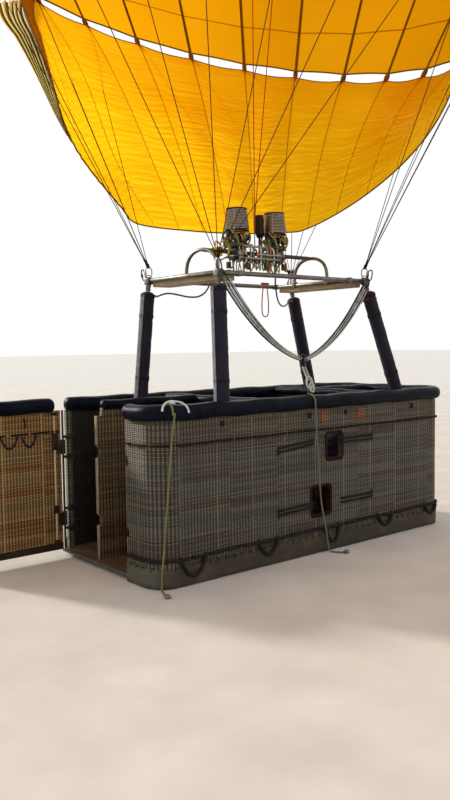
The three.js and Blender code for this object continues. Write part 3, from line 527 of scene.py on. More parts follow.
# %% Fuel hoses
HOSES = {
    "left": (-1, (-0.285, 0.03), [
        (-0.739, 0.406, 1.949), (-0.7, 0.375, 1.966), (-0.665, 0.348, 1.969), (-0.61, 0.304, 1.956),
        (-0.556, 0.26, 1.941), (-0.495, 0.212, 1.942), (-0.455, 0.18, 1.97), (-0.436, 0.16, 2.008),
        (-0.421, 0.14, 2.054), (-0.38, 0.1, 2.105), (-0.32, 0.055, 2.14)]),
    "right": (1, (0.165, 0.03), [
        (0.708, 0.41, 1.95), (0.66, 0.376, 1.946), (0.6, 0.338, 1.926), (0.53, 0.292, 1.902),
        (0.463, 0.246, 1.89), (0.39, 0.196, 1.888), (0.31, 0.14, 1.9), (0.24, 0.09, 1.932),
        (0.19, 0.052, 1.985), (0.164, 0.034, 2.04), (0.158, 0.028, 2.1)]),
}
SLEEVE, SLEEVE_ENDS, ROD = 0.048, (0.1, 0.94), 0.013
FITTING_BASE = FRAME_Z + HOOP_RISE - 0.082


def corner_of(name, height=FRAME_Z):
    """The middle of a corner of the burner frame, at a height."""
    x_sign, y_sign = SIGNS[name]
    return np.array([FRAME_X + x_sign * FRAME_HALF_L, FRAME_Y + y_sign * FRAME_HALF_W, height])


def upright_ends(name):
    """Foot and top of the nylon rod at one corner of the frame."""
    x_sign, y_sign = SIGNS[name]
    foot = (-0.88 if x_sign < 0 else 1.18, -0.5537 if y_sign < 0 else 0.5352, 0.7)
    return np.array(foot), corner_of(name)


def hose_route(name, side, fitting, route):
    """From the side of the sleeve, through the chosen points, and straight up into its fitting."""
    foot, top = upright_ends(f"rear_{name}")
    axis = top - foot
    leaves = foot + axis * SLEEVE_ENDS[1] - unit(axis) * 0.035
    away = np.array([-side * 0.8, -0.6, 0])
    away = unit(away - away @ axis / (axis @ axis) * axis)
    exit_point = leaves + away * (SLEEVE + 0.0003)
    ends = [(*fitting, FITTING_BASE - drop) for drop in (0.06, 0.03, 0.0006)]
    return smooth_line([exit_point, exit_point + away * 0.014, *route, *ends], 90)


def ferrule(end, ahead):
    """A crimped sleeve on a hose: three ridges on a short barrel."""
    bore, groove, ridge = 0.00544, 0.00748, 0.0085
    profile = [(bore, 0), (ridge, 0.001), (ridge, 0.006), (groove, 0.008), (ridge, 0.01)]
    profile += [(ridge, 0.016), (groove, 0.018), (ridge, 0.02), (ridge, 0.026), (bore, 0.028)]
    return lathe(profile, end, ahead, 16)


def hang(obj, path, fitting):
    """Prints the piece's name and the length of its line; `fitting` is not used."""
    print(obj.name, "of", round(along(path)[-1], 3), "m")


def make_hoses():
    for name, (side, fitting, route) in HOSES.items():
        path = hose_route(name, side, fitting, route)
        plane = (0.6, side * 0.8, 0)
        hose = piece(f"hose_{name}", tube(path, 0.0065, 16, plane), RUBBER, replaces=[f"fuel_hose_{name}"])
        collars = [ferrule(path[0], path[4] - path[0]), ferrule(path[-1], (0, 0, -1))]
        hang(hose, path, piece(f"hose_ferrules_{name}", collars, BRASS))


make_hoses()

# %% Hanging ropes
ROPES = {
    "left": [(-1.379, -0.6766, 1.14), (-1.391, -0.675, 1.06), (-1.404, -0.671, 0.96), (-1.416, -0.662, 0.79),
             (-1.426, -0.652, 0.622), (-1.438, -0.64, 0.44), (-1.449, -0.628, 0.256), (-1.457, -0.62, 0.13),
             (-1.462, -0.617, 0.05), (-1.468, -0.625, 0.016), (-1.48, -0.655, 0.0074), (-1.496, -0.7, 0.0073),
             (-1.52, -0.76, 0.0073)],
    "right": [(-0.119, -0.6803, 1.14), (-0.113, -0.6803, 1.03), (-0.106, -0.68, 0.9), (-0.093, -0.678, 0.76),
              (-0.081, -0.676, 0.631), (-0.057, -0.672, 0.415), (-0.02, -0.669, 0.25), (0.011, -0.667, 0.133),
              (0.024, -0.666, 0.05), (0.03, -0.674, 0.016), (0.042, -0.7, 0.0074), (0.062, -0.74, 0.0073),
              (0.095, -0.785, 0.0073)],
}


def overhand_knot(centre, size, radius):
    """A trefoil: the line winds three times round a ring while it goes twice about the ring's axis."""
    a = 2 * np.pi * np.arange(120) / 120
    out = size * (1 + 0.45 * np.cos(3 * a))
    path = np.asarray(centre) + polar(out, 2 * a, 0.55 * size * np.sin(3 * a))
    return tube(path, radius, 10, (0.02, 0.03, 1), closed=True)


def make_hanging_ropes():
    for (name, points), finish in zip(ROPES.items(), (KHAKI, GREY_ROPE)):
        path = smooth_line(points, 420)
        end = piece(f"rope_knot_{name}", overhand_knot(path[-1] + [0, 0, 0.0085], 0.011, 0.0068), finish)
        line = piece(f"rope_{name}", rope(path, 0.007), finish, replaces=[f"hanging_rope_{name}"])
        hang(line, path, end)


make_hanging_ropes()

# %% [markdown]
# ## Envelope cloth
# The envelope is thin coated cloth, sewn from panels, and light from behind shines through, so a share of
# the light passes through the cloth. Level streaks of painted shade and painted highlight stand for the
# fine wrinkles. The map gives the gore number across and metres along, so that each panel gets a slightly
# different shade and each seam its darker, doubled strip.


# %% Cloth finishes
SEAM_BROWN = (0.3, 0.1, 0.002)


def yellow_cloth(name, panel, deep, bright, wrinkled=0.12, crinkle=0.004, differ=0.45, lit=0.0):
    """Panels `panel` metres high between seams at each whole number of the map; `wrinkled` is how
    strongly level streaks of painted shade and painted highlight, which stand for wrinkles, lighten and
    darken it, `differ` how unlike two panels are, and `lit` how much painted light brightens it
    leftwards and downwards."""
    f = Finish("cloth_yellow", name, specular=0.2)
    across, upward, _ = f.split()
    row = upward * (1 / panel)
    shade = f.scatter(across.of("FLOOR"), row.of("FLOOR"))
    seam = 1 - abs(row.of("FRACT") - 0.5).smooth(0.006 / panel, 0.014 / panel)
    edge = abs(across.of("FRACT") - 0.5).smooth(0.48, 0.492)
    streak = f.noise(0.018, 1, "UV", (0.008, 1, 1))
    # The wrinkles' crests, lightened below as a painted highlight.
    crest_highlight = 1 - abs(streak - 0.5).smooth(0.0, 0.075)
    broad = f.noise(0.09, 2, "UV", (0.03, 1, 1))
    calm = (upward - 0.25).smooth(0.0, 1.1)
    # Painted shade and painted highlight of the wrinkles; the same value raises the bump.
    level = (crest_highlight * 0.4 + streak * 0.45 + broad * 0.15 - 0.45) * (1 - calm * 0.75) * (wrinkled * 4.4)
    # Painted light: lighter leftwards and downwards, as much as `lit` asks.
    painted_light = (across * 0.03 + (0.6 - upward) * 0.35) * lit
    tone = f.noise(1.4, 1) * (1 - differ) + shade * differ + level + painted_light
    fine = f.noise(0.015, 4)
    doubled = seam.of("MAXIMUM", edge)
    color = f.mix(doubled * 0.75, f.ramp(tone, (0.2, deep), (0.8, bright)), SEAM_BROWN)
    f.set(color=color, roughness=fine * 0.2 + 0.36)
    folds = f.noise(0.16, 5, scale=(1, 1, 1.6), twist=0.6)
    f.bump(folds * 1.2 + level * 2 + fine * 0.12 + doubled * 0.3, crinkle)
    f.let_light_through(color, 0.62)
    return f


def load_tape():
    f = Finish("load_tape")
    across, upward, _ = f.split()
    weave = (upward * 1500).of("SINE") * (across * 90).of("SINE")
    worn = f.noise(0.05, 4)
    color = f.ramp(worn, (0.25, (0.09, 0.045, 0.006)), (0.8, (0.22, 0.125, 0.016)))
    f.set(color=color, roughness=worn * 0.2 + 0.62)
    f.bump(weave * 0.4 + worn, 0.001)
    return f


CLOTH = yellow_cloth("envelope_cloth", 1.15, (0.78, 0.365, 0.002), (0.93, 0.485, 0.004), 0.035, differ=0.3)
TAPE = load_tape()
print("cloth finishes:", CLOTH.material.name, TAPE.material.name)

# %% [markdown]
# ## The envelope's shape
# Seen from the side, the envelope is a straight cone that turns into the line that cloth takes between
# load tapes: its curvature grows with the height (the hot air presses more) and with the radius (a gore
# is wider). The same sum as in the model gives the same line. Between two tapes each gore bulges out.

# %% Meridian
STEP = 0.05
CONE_LEAN = np.arctan(CONE_SLOPE)


def meridian(tightness):
    """Steps along the line: lean falls by tightness * radius * height above the cone at each step."""
    radius, height, lean = (CONE_TOP - CONE_APEX) * CONE_SLOPE, CONE_TOP, CONE_LEAN
    line = [(radius, height)]
    while lean > -np.pi / 2 and radius > 0:
        lean -= tightness * radius * (height - CONE_TOP) * STEP
        radius += np.sin(lean) * STEP
        height += np.cos(lean) * STEP
        line.append((radius, height))
    return np.array(line)


def closed_meridian():
    """The tightness whose line reaches the axis just as it turns level, found by halving."""
    low, high = 1e-4, 1e-1
    for _ in range(50):
        middle = np.sqrt(low * high)
        if meridian(middle)[-1, 0] > STEP:
            high = middle
        else:
            low = middle
    return meridian(low)


MERIDIAN = closed_meridian()
UPPER = MERIDIAN[: np.flatnonzero(MERIDIAN[:, 0] > VENT_RADIUS)[-1] + 1]
UPPER_LENGTH = along(UPPER)
print("widest radius", round(MERIDIAN[:, 0].max(), 3), "top at", round(MERIDIAN[:, 1].max(), 3))


# %% Envelope surface
def tape_angle(k):
    """Load tapes lie half a gore off the axes."""
    return 2 * np.pi * (np.asarray(k) + 0.5) / GORES


def between(angle):
    """0 on a tape and 1 midway between two."""
    turns = angle * GORES / (2 * np.pi) - 0.5
    return np.sin(np.pi * (turns - np.floor(turns)))


def mouth_height(angle):
    """Height at which the slanting mouth plane cuts the cone in a direction."""
    rise = 1 / CONE_SLOPE - MOUTH_RISE_X * np.cos(angle) - MOUTH_RISE_Y * np.sin(angle)
    return CONE_APEX + (MOUTH_HEIGHT - CONE_APEX) / rise / CONE_SLOPE


def envelope_profile(distance):
    """Radius and height at metres up the gore from the cone's top; below it the line runs straight."""
    radius = np.interp(distance, UPPER_LENGTH, UPPER[:, 0])
    height = np.interp(distance, UPPER_LENGTH, UPPER[:, 1])
    below = np.minimum(distance, 0) * np.cos(CONE_LEAN)
    return radius + below * CONE_SLOPE, height + below


MOUTH_CLEAR = 0.07  # the tape ends run on below the cloth's edge by this much


def cone_length(angle):
    """Length of the straight part of the gore in a direction, from the scalloped mouth up."""
    mouth = mouth_height(angle) + MOUTH_CLEAR + 0.3 * MOUTH_SCALLOP * between(angle)
    return (CONE_TOP - mouth) / np.cos(CONE_LEAN)


def envelope_point(angle, distance):
    """A point of the cloth: the profile's radius, less the chord between tapes, plus the gore's bulge,
    small puckers along the tapes and a slow wave in the middle."""
    radius, height = envelope_profile(distance)
    middle = between(angle)
    gore = np.floor(angle * GORES / (2 * np.pi) - 0.5 + 1e-9)
    width = 2 * np.pi * radius / GORES
    near_tape = 0.005 * np.exp(-middle / 0.2) * (middle > 0.01)
    pucker = near_tape * np.sin(2 * np.pi * distance / 0.42 + 2.4 * gore)
    wave = 0.01 * middle * np.sin(distance * 1.3 + gore * 1.7) * np.clip(radius / 4, 0, 1)
    radius = radius * (1 - (1 - np.cos(np.pi / GORES)) * middle) + GORE_BULGE * width * middle
    return polar(radius + pucker + wave, angle, height)


SKIRT = 1.05  # metres of the lowest row of panels, a heavier cloth joined on at a seam


def cloth_patch(first, last, low, high, rows, steps=10):
    """Cloth from tape `first` to tape `last` between two distances up the gore, which are numbers or
    one for each angle; its map is the gore number and the metres above the mouth."""
    place = np.linspace(first, last, (last - first) * steps + 1)
    angle = tape_angle(place)
    share = np.linspace(0, 1, rows + 1)[:, None]
    distance = low(angle) + (high(angle) - low(angle)) * share
    angles = np.broadcast_to(angle, distance.shape)
    uv = np.stack([np.broadcast_to(place, distance.shape), distance + cone_length(angles)], axis=-1)
    return grid(envelope_point(angles, distance), uv=uv)


def mouth_line(angle):
    return -cone_length(angle)


def skirt_seam(angle):
    return SKIRT - cone_length(angle)


def vent_line(angle):
    return np.full_like(angle, UPPER_LENGTH[-1])


def make_envelope():
    for number, corner in enumerate(SIGNS):
        part = cloth_patch(6 * number, 6 * number + 6, skirt_seam, vent_line, 150)
        cloth = piece(f"envelope_cloth_{corner}", part, CLOTH, replaces=[f"envelope_{corner}"])
        area_of(part)
    part = cloth_patch(0, GORES, mouth_line, skirt_seam, 14)
    skirt = piece("mouth_panels", part, CLOTH)
    area_of(part)


make_envelope()

# %% [markdown]
# ## Load tapes
# Polyester tapes run up every seam between gores and carry the basket's weight; the cloth hangs between
# them. They are flat bands, so each is a strap carried up the profile, and a thicker one binds the mouth.
# Each tape ends below the mouth in a lashed loop, to which one flying wire is tied.


# %% Tapes
def gore_line(k, low, high, count):
    """Points up a tape between two distances from the cone's top."""
    radius, height = envelope_profile(np.linspace(low, high, count))
    return polar(radius, tape_angle(k), height)


def eastward(k):
    """The direction round the envelope at a tape."""
    return polar(1, tape_angle(k) + np.pi / 2, 0)


def make_tapes():
    tapes = []
    for k in range(GORES):
        low = -(CONE_TOP - mouth_height(tape_angle(k))) / np.cos(CONE_LEAN)
        tapes.append(strap(gore_line(k, low, UPPER_LENGTH[-1], 140), eastward(k), 0.029, 0.005))
    piece("load_tapes", tapes, TAPE, flat=True)
    angle = tape_angle(np.arange(GORES * 12) / 12)
    rim = envelope_point(angle, mouth_line(angle))
    binding = strap(rim + [0, 0, 0.005], (0.001, 0.002, 1), 0.014, 0.008, closed=True)
    piece("mouth_binding", binding, TAPE)


def tape_end(k):
    """Where the wire of tape k is tied, at the mouth plane, and the directions round, up and out."""
    height = mouth_height(tape_angle(k))
    round_it = eastward(k)
    up = unit(np.diff(gore_line(k, 0, 1, 2), axis=0)[0])
    end = polar((height - CONE_APEX) * CONE_SLOPE, tape_angle(k), height)
    return end, round_it, up, np.cross(round_it, up)


def lashed_end(k):
    """Five turns of cord round the wire's eye, and the cord's two tails below them."""
    end, round_it, up, out = tape_end(k)
    turns = [ring(end + up * (0.007 * n - 0.024), 1, 12, 0.017 * round_it, 0.013 * out) for n in range(5)]
    tails = [end + [-up * 0.02, side * 0.018 * round_it - up * 0.035,
                    side * 0.012 * round_it - up * 0.06 + out * 0.01] for side in (-1, 1)]
    return joined(*[tube(turn, 0.0055, 6, up, closed=True) for turn in turns],
                  *[tube(smooth_line(tail, 12), 0.004, 6, out) for tail in tails])


def tape_loop(k):
    """The tape doubled back through the wire's eye, where it is thickest."""
    end, round_it, up, out = tape_end(k)
    return strap(ring(end + up * 0.036, 1, 16, 0.011 * out, 0.042 * up), round_it, 0.043, 0.006, closed=True)


make_tapes()
RED_LINE = laid_fibres("line_red", (0.2, 0.01, 0.008), (0.5, 0.03, 0.02))
LASHING = laid_fibres("line_red", (0.14, 0.02, 0.003), (0.55, 0.12, 0.012), name="lashing_cord")
piece("tape_lashings", [lashed_end(k) for k in range(GORES)], LASHING)
piece("tape_loops", [tape_loop(k) for k in range(GORES)], TAPE)
print("tapes:", GORES)

# %% [markdown]
# ## Scoop
# A funnel of the same cloth hangs below two thirds of the mouth and leads fresh air in. It is gathered
# along its lower edge, so fine level wrinkles run across it, closest near the hem, with their shade and
# highlights painted too. Longer creases fan out from each tape end. Its left edge is bunched up into
# pleats that stand in the sun, with painted highlights on their crests and painted shade in their
# hollows, and along the free edge the doubled cloth is a dark band, partly painted shade.

# %% Scoop surface
SCOOP_RIGHT, SCOOP_LEFT_TOP, SCOOP_LEFT_BOTTOM = -67.5, 120.0, 145.0
SCOOP_HEM, SCOOP_HEM_RIGHT = 2.57, 3.56


def scoop_point(u, v, out=0.0, wrinkled=1.0):
    """u runs from the right end to the left and v from the hem up. The radius is the cone's, less a
    hollow of up to 75 mm where the wires press, plus a billow of up to 0.26 m near the free left edge,
    and wrinkles that crowd towards the hem."""
    left_edge = SCOOP_LEFT_TOP + (SCOOP_LEFT_BOTTOM - SCOOP_LEFT_TOP) * (1 - v**3)
    degrees = SCOOP_RIGHT + (left_edge - SCOOP_RIGHT) * u
    angle = np.radians(degrees)
    top = mouth_height(angle) - 0.005 - 0.022 * between(angle)
    hem = SCOOP_HEM + (SCOOP_HEM_RIGHT - SCOOP_HEM) * np.maximum(0, 1 - u / 0.45) ** 1.3
    height = hem + (top - hem) * v
    inside = np.sin(np.pi * np.clip(v, 0, 1))
    pressed = 0.075 * inside**0.7 + 0.006
    deep = wrinkled * (0.25 + 0.75 * np.clip(1 - v, 0, 1)) * inside**0.3
    bend = 0.1 * np.sin(angle * 3.1) + 0.06 * np.sin(angle * 9)
    wrinkle = np.sin((height + bend) * 105 + 2 * np.sin(angle * 7)) + 0.7 * np.sin((height - bend) * 173 + 3)
    gore = 0.028 * inside * (between(angle) - 0.5)
    turned = np.clip((degrees - 88) / 40, 0, 1)
    billow = 0.26 * np.exp(-(((v - 0.28) / 0.32) ** 2)) * turned**2 * (3 - 2 * turned)
    radius = (height - CONE_APEX) * CONE_SLOPE - pressed + gore + billow + 0.005 * deep * wrinkle + out
    return polar(radius, angle, height), degrees / 15 - 0.5


def make_scoop():
    u, v = np.meshgrid(np.linspace(0, 1, 241), np.linspace(0, 1, 161))
    points, gore = scoop_point(u, v)
    part = grid(points, uv=np.stack([gore, v * 1.35], axis=-1))
    along_u, along_v = np.linspace(0, 1, 200), np.linspace(0, 1, 80)
    low, top = (scoop_point(along_u, np.full(200, level), wrinkled=0)[0] for level in (0, 1))
    sides = [scoop_point(np.full(80, place), along_v)[0] for place in (0.0, 1.0)]
    hem = [strap(low + [0, 0, 0.004], (0, 0, 1), 0.011, 0.007), strap(top, (0, 0, 1), 0.01, 0.006)]
    hem += [tube(side, 0.006, 8, (1, 0, 0)) for side in sides]
    trim = piece("scoop_hem", hem, yellow_cloth("hem_cloth", 9.0, (0.12, 0.05, 0.004), (0.3, 0.14, 0.008)))
    # The scoop's cloth: strong painted wrinkle shade, and painted light leftwards and downwards.
    finish = yellow_cloth("scoop_cloth", 9.0, (0.79, 0.315, 0.001), (1.0, 0.61, 0.006), 0.26, 0.005, 0.1, 1.0)
    cloth = piece("scoop_cloth", part, finish, replaces=["scoop"])
    area_of(part)
    print("scoop of", round(area_of(part), 2), "square metres")


def pleated_cloth():
    """Pleated cloth: painted highlights on the pale crests and painted shade in the olive hollows, told
    apart by the map's first number, which counts the pleats, and streaks that run along them."""
    f = Finish("cloth_yellow", "bundle_cloth", roughness=0.6, specular=0.2)
    across, _, _ = f.split()
    # Pale painted highlight on each crest, painted shade in each hollow.
    crest_highlight = (across * (2 * np.pi)).of("COSINE") * 0.5 + 0.5
    streak = f.noise(0.6, 2, "UV", (1, 0.25, 1))
    tone = crest_highlight * 0.9 + streak - 0.5
    color = f.ramp(tone, (0.1, (0.1, 0.065, 0.003)), (0.34, (0.3, 0.21, 0.012)), (0.52, (0.85, 0.72, 0.12)),
                   (0.72, (1.0, 0.95, 0.4)), (1.0, (1.0, 1.0, 0.8)))
    f.set(color=color)
    f.bump(streak, 0.004)
    f.let_light_through(color, 0.35)
    return f


def painted_shade_band():
    """The doubled cloth at the scoop's free edge, which lets no light through: olive-brown and streaked,
    dark partly from the doubled cloth and partly as painted shade.
    """
    f = Finish("cloth_yellow", "painted_shade_band", roughness=0.6, specular=0.2)
    streak = f.noise(0.02, 3, "UV", (1, 0.05, 1))
    stops = (0.3, (0.075, 0.05, 0.006)), (0.55, (0.15, 0.11, 0.015)), (0.75, (0.3, 0.23, 0.05))
    f.set(color=f.ramp(streak, *stops))
    f.bump(streak, 0.002)
    return f


PLEATS = 7


def make_bundle():
    """Cloth gathered outside the scoop's left edge: each level is a line that leads outwards by a width
    that grows from nothing a third of the way up to 0.34 m at the mouth, in small pleats."""
    a, v = np.meshgrid(np.linspace(0, 1, PLEATS * 14 + 1), np.linspace(0.33, 1.03, 90))
    inner, _ = scoop_point(np.full_like(v, 0.97), v, wrinkled=0)
    outward = unit(np.array([-0.755, 0.656, 0.0]))
    sideways = np.array([-0.656, -0.755, 0.0])
    width = 0.34 * ((v - 0.33) / 0.7) ** 1.15 + 0.016
    swing = np.cos(2 * np.pi * PLEATS * a) * (0.004 + 0.05 * width)
    lean = 0.03 * width * np.sin(9 * a + 5 * v)
    points = inner + (width * a + lean)[..., None] * outward + (swing + 0.016)[..., None] * sideways
    points[..., 2] -= 0.1 * width * a
    part = grid(points, uv=np.stack([a * PLEATS + 0.08 * np.sin(7 * v), v * 1.3], axis=-1))
    bundle = piece("scoop_pleats", part, pleated_cloth())
    area_of(part)
    # A dark band on the free edge: doubled cloth, painted darker as painted shade.
    u, v = np.meshgrid(np.linspace(0.972, 1.0, 9), np.linspace(0.3, 1.0, 60))
    points, _ = scoop_point(u, v, 0.012, wrinkled=0)
    piece("scoop_painted_shade_band", grid(points, uv=np.stack([(u - 0.972) * 10, v], axis=-1)), painted_shade_band())


make_scoop()
make_bundle()
print("scoop ready")

# %% [markdown]
# ## Flying wires
# Six wires fan out from each corner of the burner frame to the tape ends, gathered on one karabiner. Each
# is a thin twisted steel line with a swaged sleeve and an eye at both ends.

# %% Metal finishes
def steel_wire():
    f = Finish("steel_wire", specular=0.1)
    across, length, _ = f.split()
    dirt = f.noise(0.2, 3)
    color = f.ramp(dirt, (0.3, (0.02, 0.008, 0.002)), (0.8, (0.06, 0.026, 0.006)))
    f.set(color=color, roughness=dirt * 0.3 + 0.45)
    f.bump((across * 37.7 + length * 900).of("SINE"), 0.0006)
    return f


def polished_metal(slot, name, dark, light, roughness, grain=0.004, metallic=1.0):
    f = Finish(slot, name, metallic=metallic)
    haze, scratches = f.noise(0.06, 5), f.noise(grain, 4, scale=(1, 1, 9))
    f.set(color=f.ramp(haze, (0.25, dark), (0.8, light)))
    f.set(roughness=haze * 0.22 + scratches * 0.12 + roughness - 0.14)
    f.bump(scratches, 0.0003)
    return f


STEEL_WIRE = steel_wire()
STEEL = polished_metal("steel_wire", "bright_steel", (0.24, 0.24, 0.24), (0.5, 0.5, 0.49), 0.34)
ALUMINIUM = polished_metal("aluminium_tube", None, (0.095, 0.093, 0.083), (0.23, 0.226, 0.208), 0.38)
CAST = polished_metal("aluminium_tube", "cast_aluminium", (0.1, 0.098, 0.09), (0.22, 0.215, 0.2), 0.5, 0.0015)
DARK_STEEL = polished_metal("steel_wire", "dark_steel", (0.035, 0.03, 0.027), (0.11, 0.1, 0.09), 0.5)
print("metals ready")


# %% Wires
def rounded_loop(centre, tall, wide, length, width, radius=0.005, sides=8):
    """A closed line rounder than an ellipse, carried as a bar. tall and wide are its directions."""
    out, up = (np.sign(w) * np.abs(w) ** 0.7 for w in circle(36).T)
    tall, wide = unit(tall), unit(wide)
    path = np.asarray(centre) + up[:, None] * tall * (length / 2) + out[:, None] * wide * (width / 2)
    return tube(path, radius, sides, np.cross(tall, wide), closed=True)


def karabiner(centre, tall, wide, length=0.1, width=0.056, radius=0.005):
    """The loop with its screwed locking sleeve on one long side."""
    tall, wide = unit(tall), unit(wide)
    side = np.asarray(centre) + wide * (width / 2 - 0.001)
    sleeve = bar(side - tall * length * 0.2, side + tall * length * 0.16, radius * 1.7)
    return joined(rounded_loop(centre, tall, wide, length, width, radius), sleeve)


def wire(start, end):
    """One wire with a swaged sleeve and an eye at both ends."""
    pull = unit(end - start)
    side = unit(np.cross(pull, (0, 0, 1)))
    parts = [tube([start + pull * 0.045, end - pull * 0.045], 0.003, 8, side)]
    for tip, inwards in ((start, pull), (end, -pull)):
        parts.append(bar(tip + inwards * 0.045, tip + inwards * 0.08, 0.0057, 8))
        parts.append(rounded_loop(tip + inwards * 0.024, pull, side, 0.048, 0.024, 0.0027, 6))
    return joined(*parts)


def make_wires():
    for number, name in enumerate(SIGNS):
        foot = corner_of(name, FRAME_Z + 0.0633)
        wires = [wire(foot + [0, 0, 0.034], tape_end(6 * number + i)[0]) for i in range(6)]
        piece(f"wires_{name}", wires, STEEL_WIRE, replaces=[f"flying_wires_{name}"])
        hook = karabiner(foot, (0, 0, 1), unit(foot * [1, 1, 0]), 0.078, 0.05, 0.0055)
        piece(f"wire_karabiner_{name}", hook, STEEL)


make_wires()
print("flying wires:", GORES)

# %% [markdown]
# ## Burner frame
# A rectangle of aluminium tube with two cross tubes and two hoops carries the burner. The corners are
# cast blocks with a socket for the nylon rod. Tubes are bars carried along straight lines and arcs, and
# the joints get clamps with screw heads.


# %% Frame
def hoop_line(x):
    """An arch across the frame, flatter on top than a half circle."""
    a = np.linspace(0, np.pi, 41)
    height = FRAME_Z + HOOP_RISE * np.sin(a) ** 0.6
    return np.column_stack([np.full(41, x), FRAME_Y - HOOP_HALF * np.cos(a), height])


def screw(place, ahead, radius=0.006):
    """A cap screw: a short head with a hollow for the key."""
    r, h = radius, radius * 0.9
    profile = [(r * 0.9, 0), (r, 0.1 * h), (r, 0.85 * h), (r * 0.88, h), (r * 0.5, h), (r * 0.45, h * 0.5)]
    return lathe(profile, place, ahead, 12)


def make_frame():
    corners = [corner_of(name) for name in SIGNS]
    tubes = [bar(a, b, FRAME_TUBE, 20) for a, b in zip(corners, corners[1:] + corners[:1])]
    clamps, screws = [], []
    for sign in (-1, 1):
        x = FRAME_X + sign * (FRAME_HALF_L - CROSS_INSET)
        near, far = ((x, FRAME_Y + side * FRAME_HALF_W, FRAME_Z) for side in (-1, 1))
        tubes += [bar(near, far, FRAME_TUBE - 0.003, 20), tube(hoop_line(x), HOOP_TUBE, 16, (1, 0, 0))]
        for side in (-1, 1):
            y, foot = FRAME_Y + side * FRAME_HALF_W, FRAME_Y + side * HOOP_HALF
            clamps.append(block_at(x, y, FRAME_Z, 0.02, 0.021, 0.021, 0.005))
            clamps.append(block_at(x, foot, FRAME_Z + 0.006, 0.019, 0.018, 0.024, 0.005))
            screws.append(screw((x, y + side * 0.02, FRAME_Z), (0, side, 0)))
            screws.append(screw((x - 0.018, foot, FRAME_Z + 0.018), (-1, 0, 0), 0.005))
    for corner in corners:
        clamps.append(block_at(*(corner - [0, 0, 0.003]), 0.026, 0.026, 0.027, 0.007))
        clamps.append(bar(corner - [0, 0, 0.05], corner - [0, 0, 0.02], 0.0185, 16))
        for direction in np.array([(1, 0, 0), (-1, 0, 0), (0, 1, 0), (0, -1, 0)]):
            screws.append(screw(corner + 0.0255 * direction + [0, 0, 0.008], direction, 0.005))
        eye = corner + [0, 0, 0.03]
        screws.append(rounded_loop(eye, (0, 0, 1), unit(corner * [1, 1, 0]), 0.026, 0.03, 0.0045))
    piece("frame_tubes", tubes, ALUMINIUM, replaces=["burner_frame"])
    piece("frame_castings", clamps, CAST)
    piece("frame_screws", screws, STEEL)


def plywood(slot, dark, light, lengthwise=(0.12, 1, 1)):
    """Sawn boards: long grain from stretched noise, darker pores and a worn, dirty cloud."""
    f = Finish(slot)
    grain = f.noise(0.02, 5, scale=lengthwise, twist=1.5)
    pores = f.noise(0.003, 3, scale=lengthwise)
    dirt = f.noise(0.25, 4)
    tone = grain * 0.65 + pores * 0.2 + dirt * 0.25
    f.set(color=f.ramp(tone, (0.3, dark), (0.75, light)), roughness=dirt * 0.3 + 0.45)
    f.bump(grain * 0.5 + pores, 0.0006)
    return f


def make_frame_panels():
    board = plywood("frame_panel", (0.16, 0.1, 0.045), (0.42, 0.3, 0.16), (1, 0.12, 1))
    for name, sign in (("left", -1), ("right", 1)):
        part = block_at(FRAME_X + sign * 0.67355, FRAME_Y, FRAME_Z - 0.023, 0.07995, 0.397, 0.027)
        piece(f"panel_{name}", part, board, replaces=[f"frame_panel_{name}"])


make_frame()
make_frame_panels()
print("frame ready")

# %% [markdown]
# ## Burner
# Twin propane burners hang in a gimbal between the hoops. On each, liquid gas runs up through a coil of
# steel tube, where the flame itself boils it, so the can is a helix of tube round a thin steel shield.
# Below sit the jets, the valve block with its taps, and gauges. The heat has tinted the coils.


# %% Burner finishes
def heated_steel():
    f = Finish("burner_steel", metallic=1.0)
    _, _, height = f.split("Object")
    rise = (height - (GROUND[2] + CAN_BASE)) * (1 / CAN_HEIGHT)
    heat = f.noise(0.05, 4) * 0.5 + rise * 0.6
    color = f.ramp(heat, (0.2, (0.46, 0.45, 0.43)), (0.42, (0.38, 0.37, 0.35)), (0.58, (0.42, 0.36, 0.28)),
                   (0.72, (0.36, 0.35, 0.36)), (0.9, (0.6, 0.6, 0.6)))
    f.set(color=color, roughness=f.noise(0.01, 3) * 0.3 + 0.25)
    f.bump(f.noise(0.004, 3), 0.0003)
    return f


def painted_black():
    f = Finish("burner_black")
    worn = f.noise(0.02, 5)
    chips = f.noise(0.006, 3).smooth(0.66, 0.7)
    paint = f.ramp(worn, (0.3, (0.006, 0.006, 0.007)), (0.8, (0.024, 0.023, 0.022)))
    f.set(color=f.mix(chips, paint, (0.2, 0.19, 0.18)), roughness=worn * 0.35 + 0.25, metallic=chips * 0.8)
    f.bump(worn + f.noise(0.0015, 2) * 0.5, 0.0004)
    return f


NYLON = polished_metal("nylon_rod", None, (0.5, 0.47, 0.4), (0.7, 0.68, 0.6), 0.45, metallic=0.0)
COIL_STEEL = heated_steel()
BURNT_STEEL = polished_metal("burner_steel", "burnt_steel", (0.02, 0.014, 0.012), (0.075, 0.05, 0.038), 0.5)
BLACK = painted_black()
TAN = polished_metal("brass", "dull_brass", (0.2, 0.15, 0.07), (0.4, 0.33, 0.18), 0.5)
OLIVE = polished_metal("burner_steel", "olive_pipe", (0.12, 0.13, 0.05), (0.34, 0.37, 0.16), 0.45)
YELLOW_BRASS = polished_metal("brass", "yellow_brass", (0.75, 0.4, 0.01), (1.0, 0.62, 0.03), 0.5)
COPPER = polished_metal("brass", "copper_pipe", (0.32, 0.13, 0.05), (0.62, 0.3, 0.13), 0.4)


# %% Burner cans
COIL_TURNS = 13


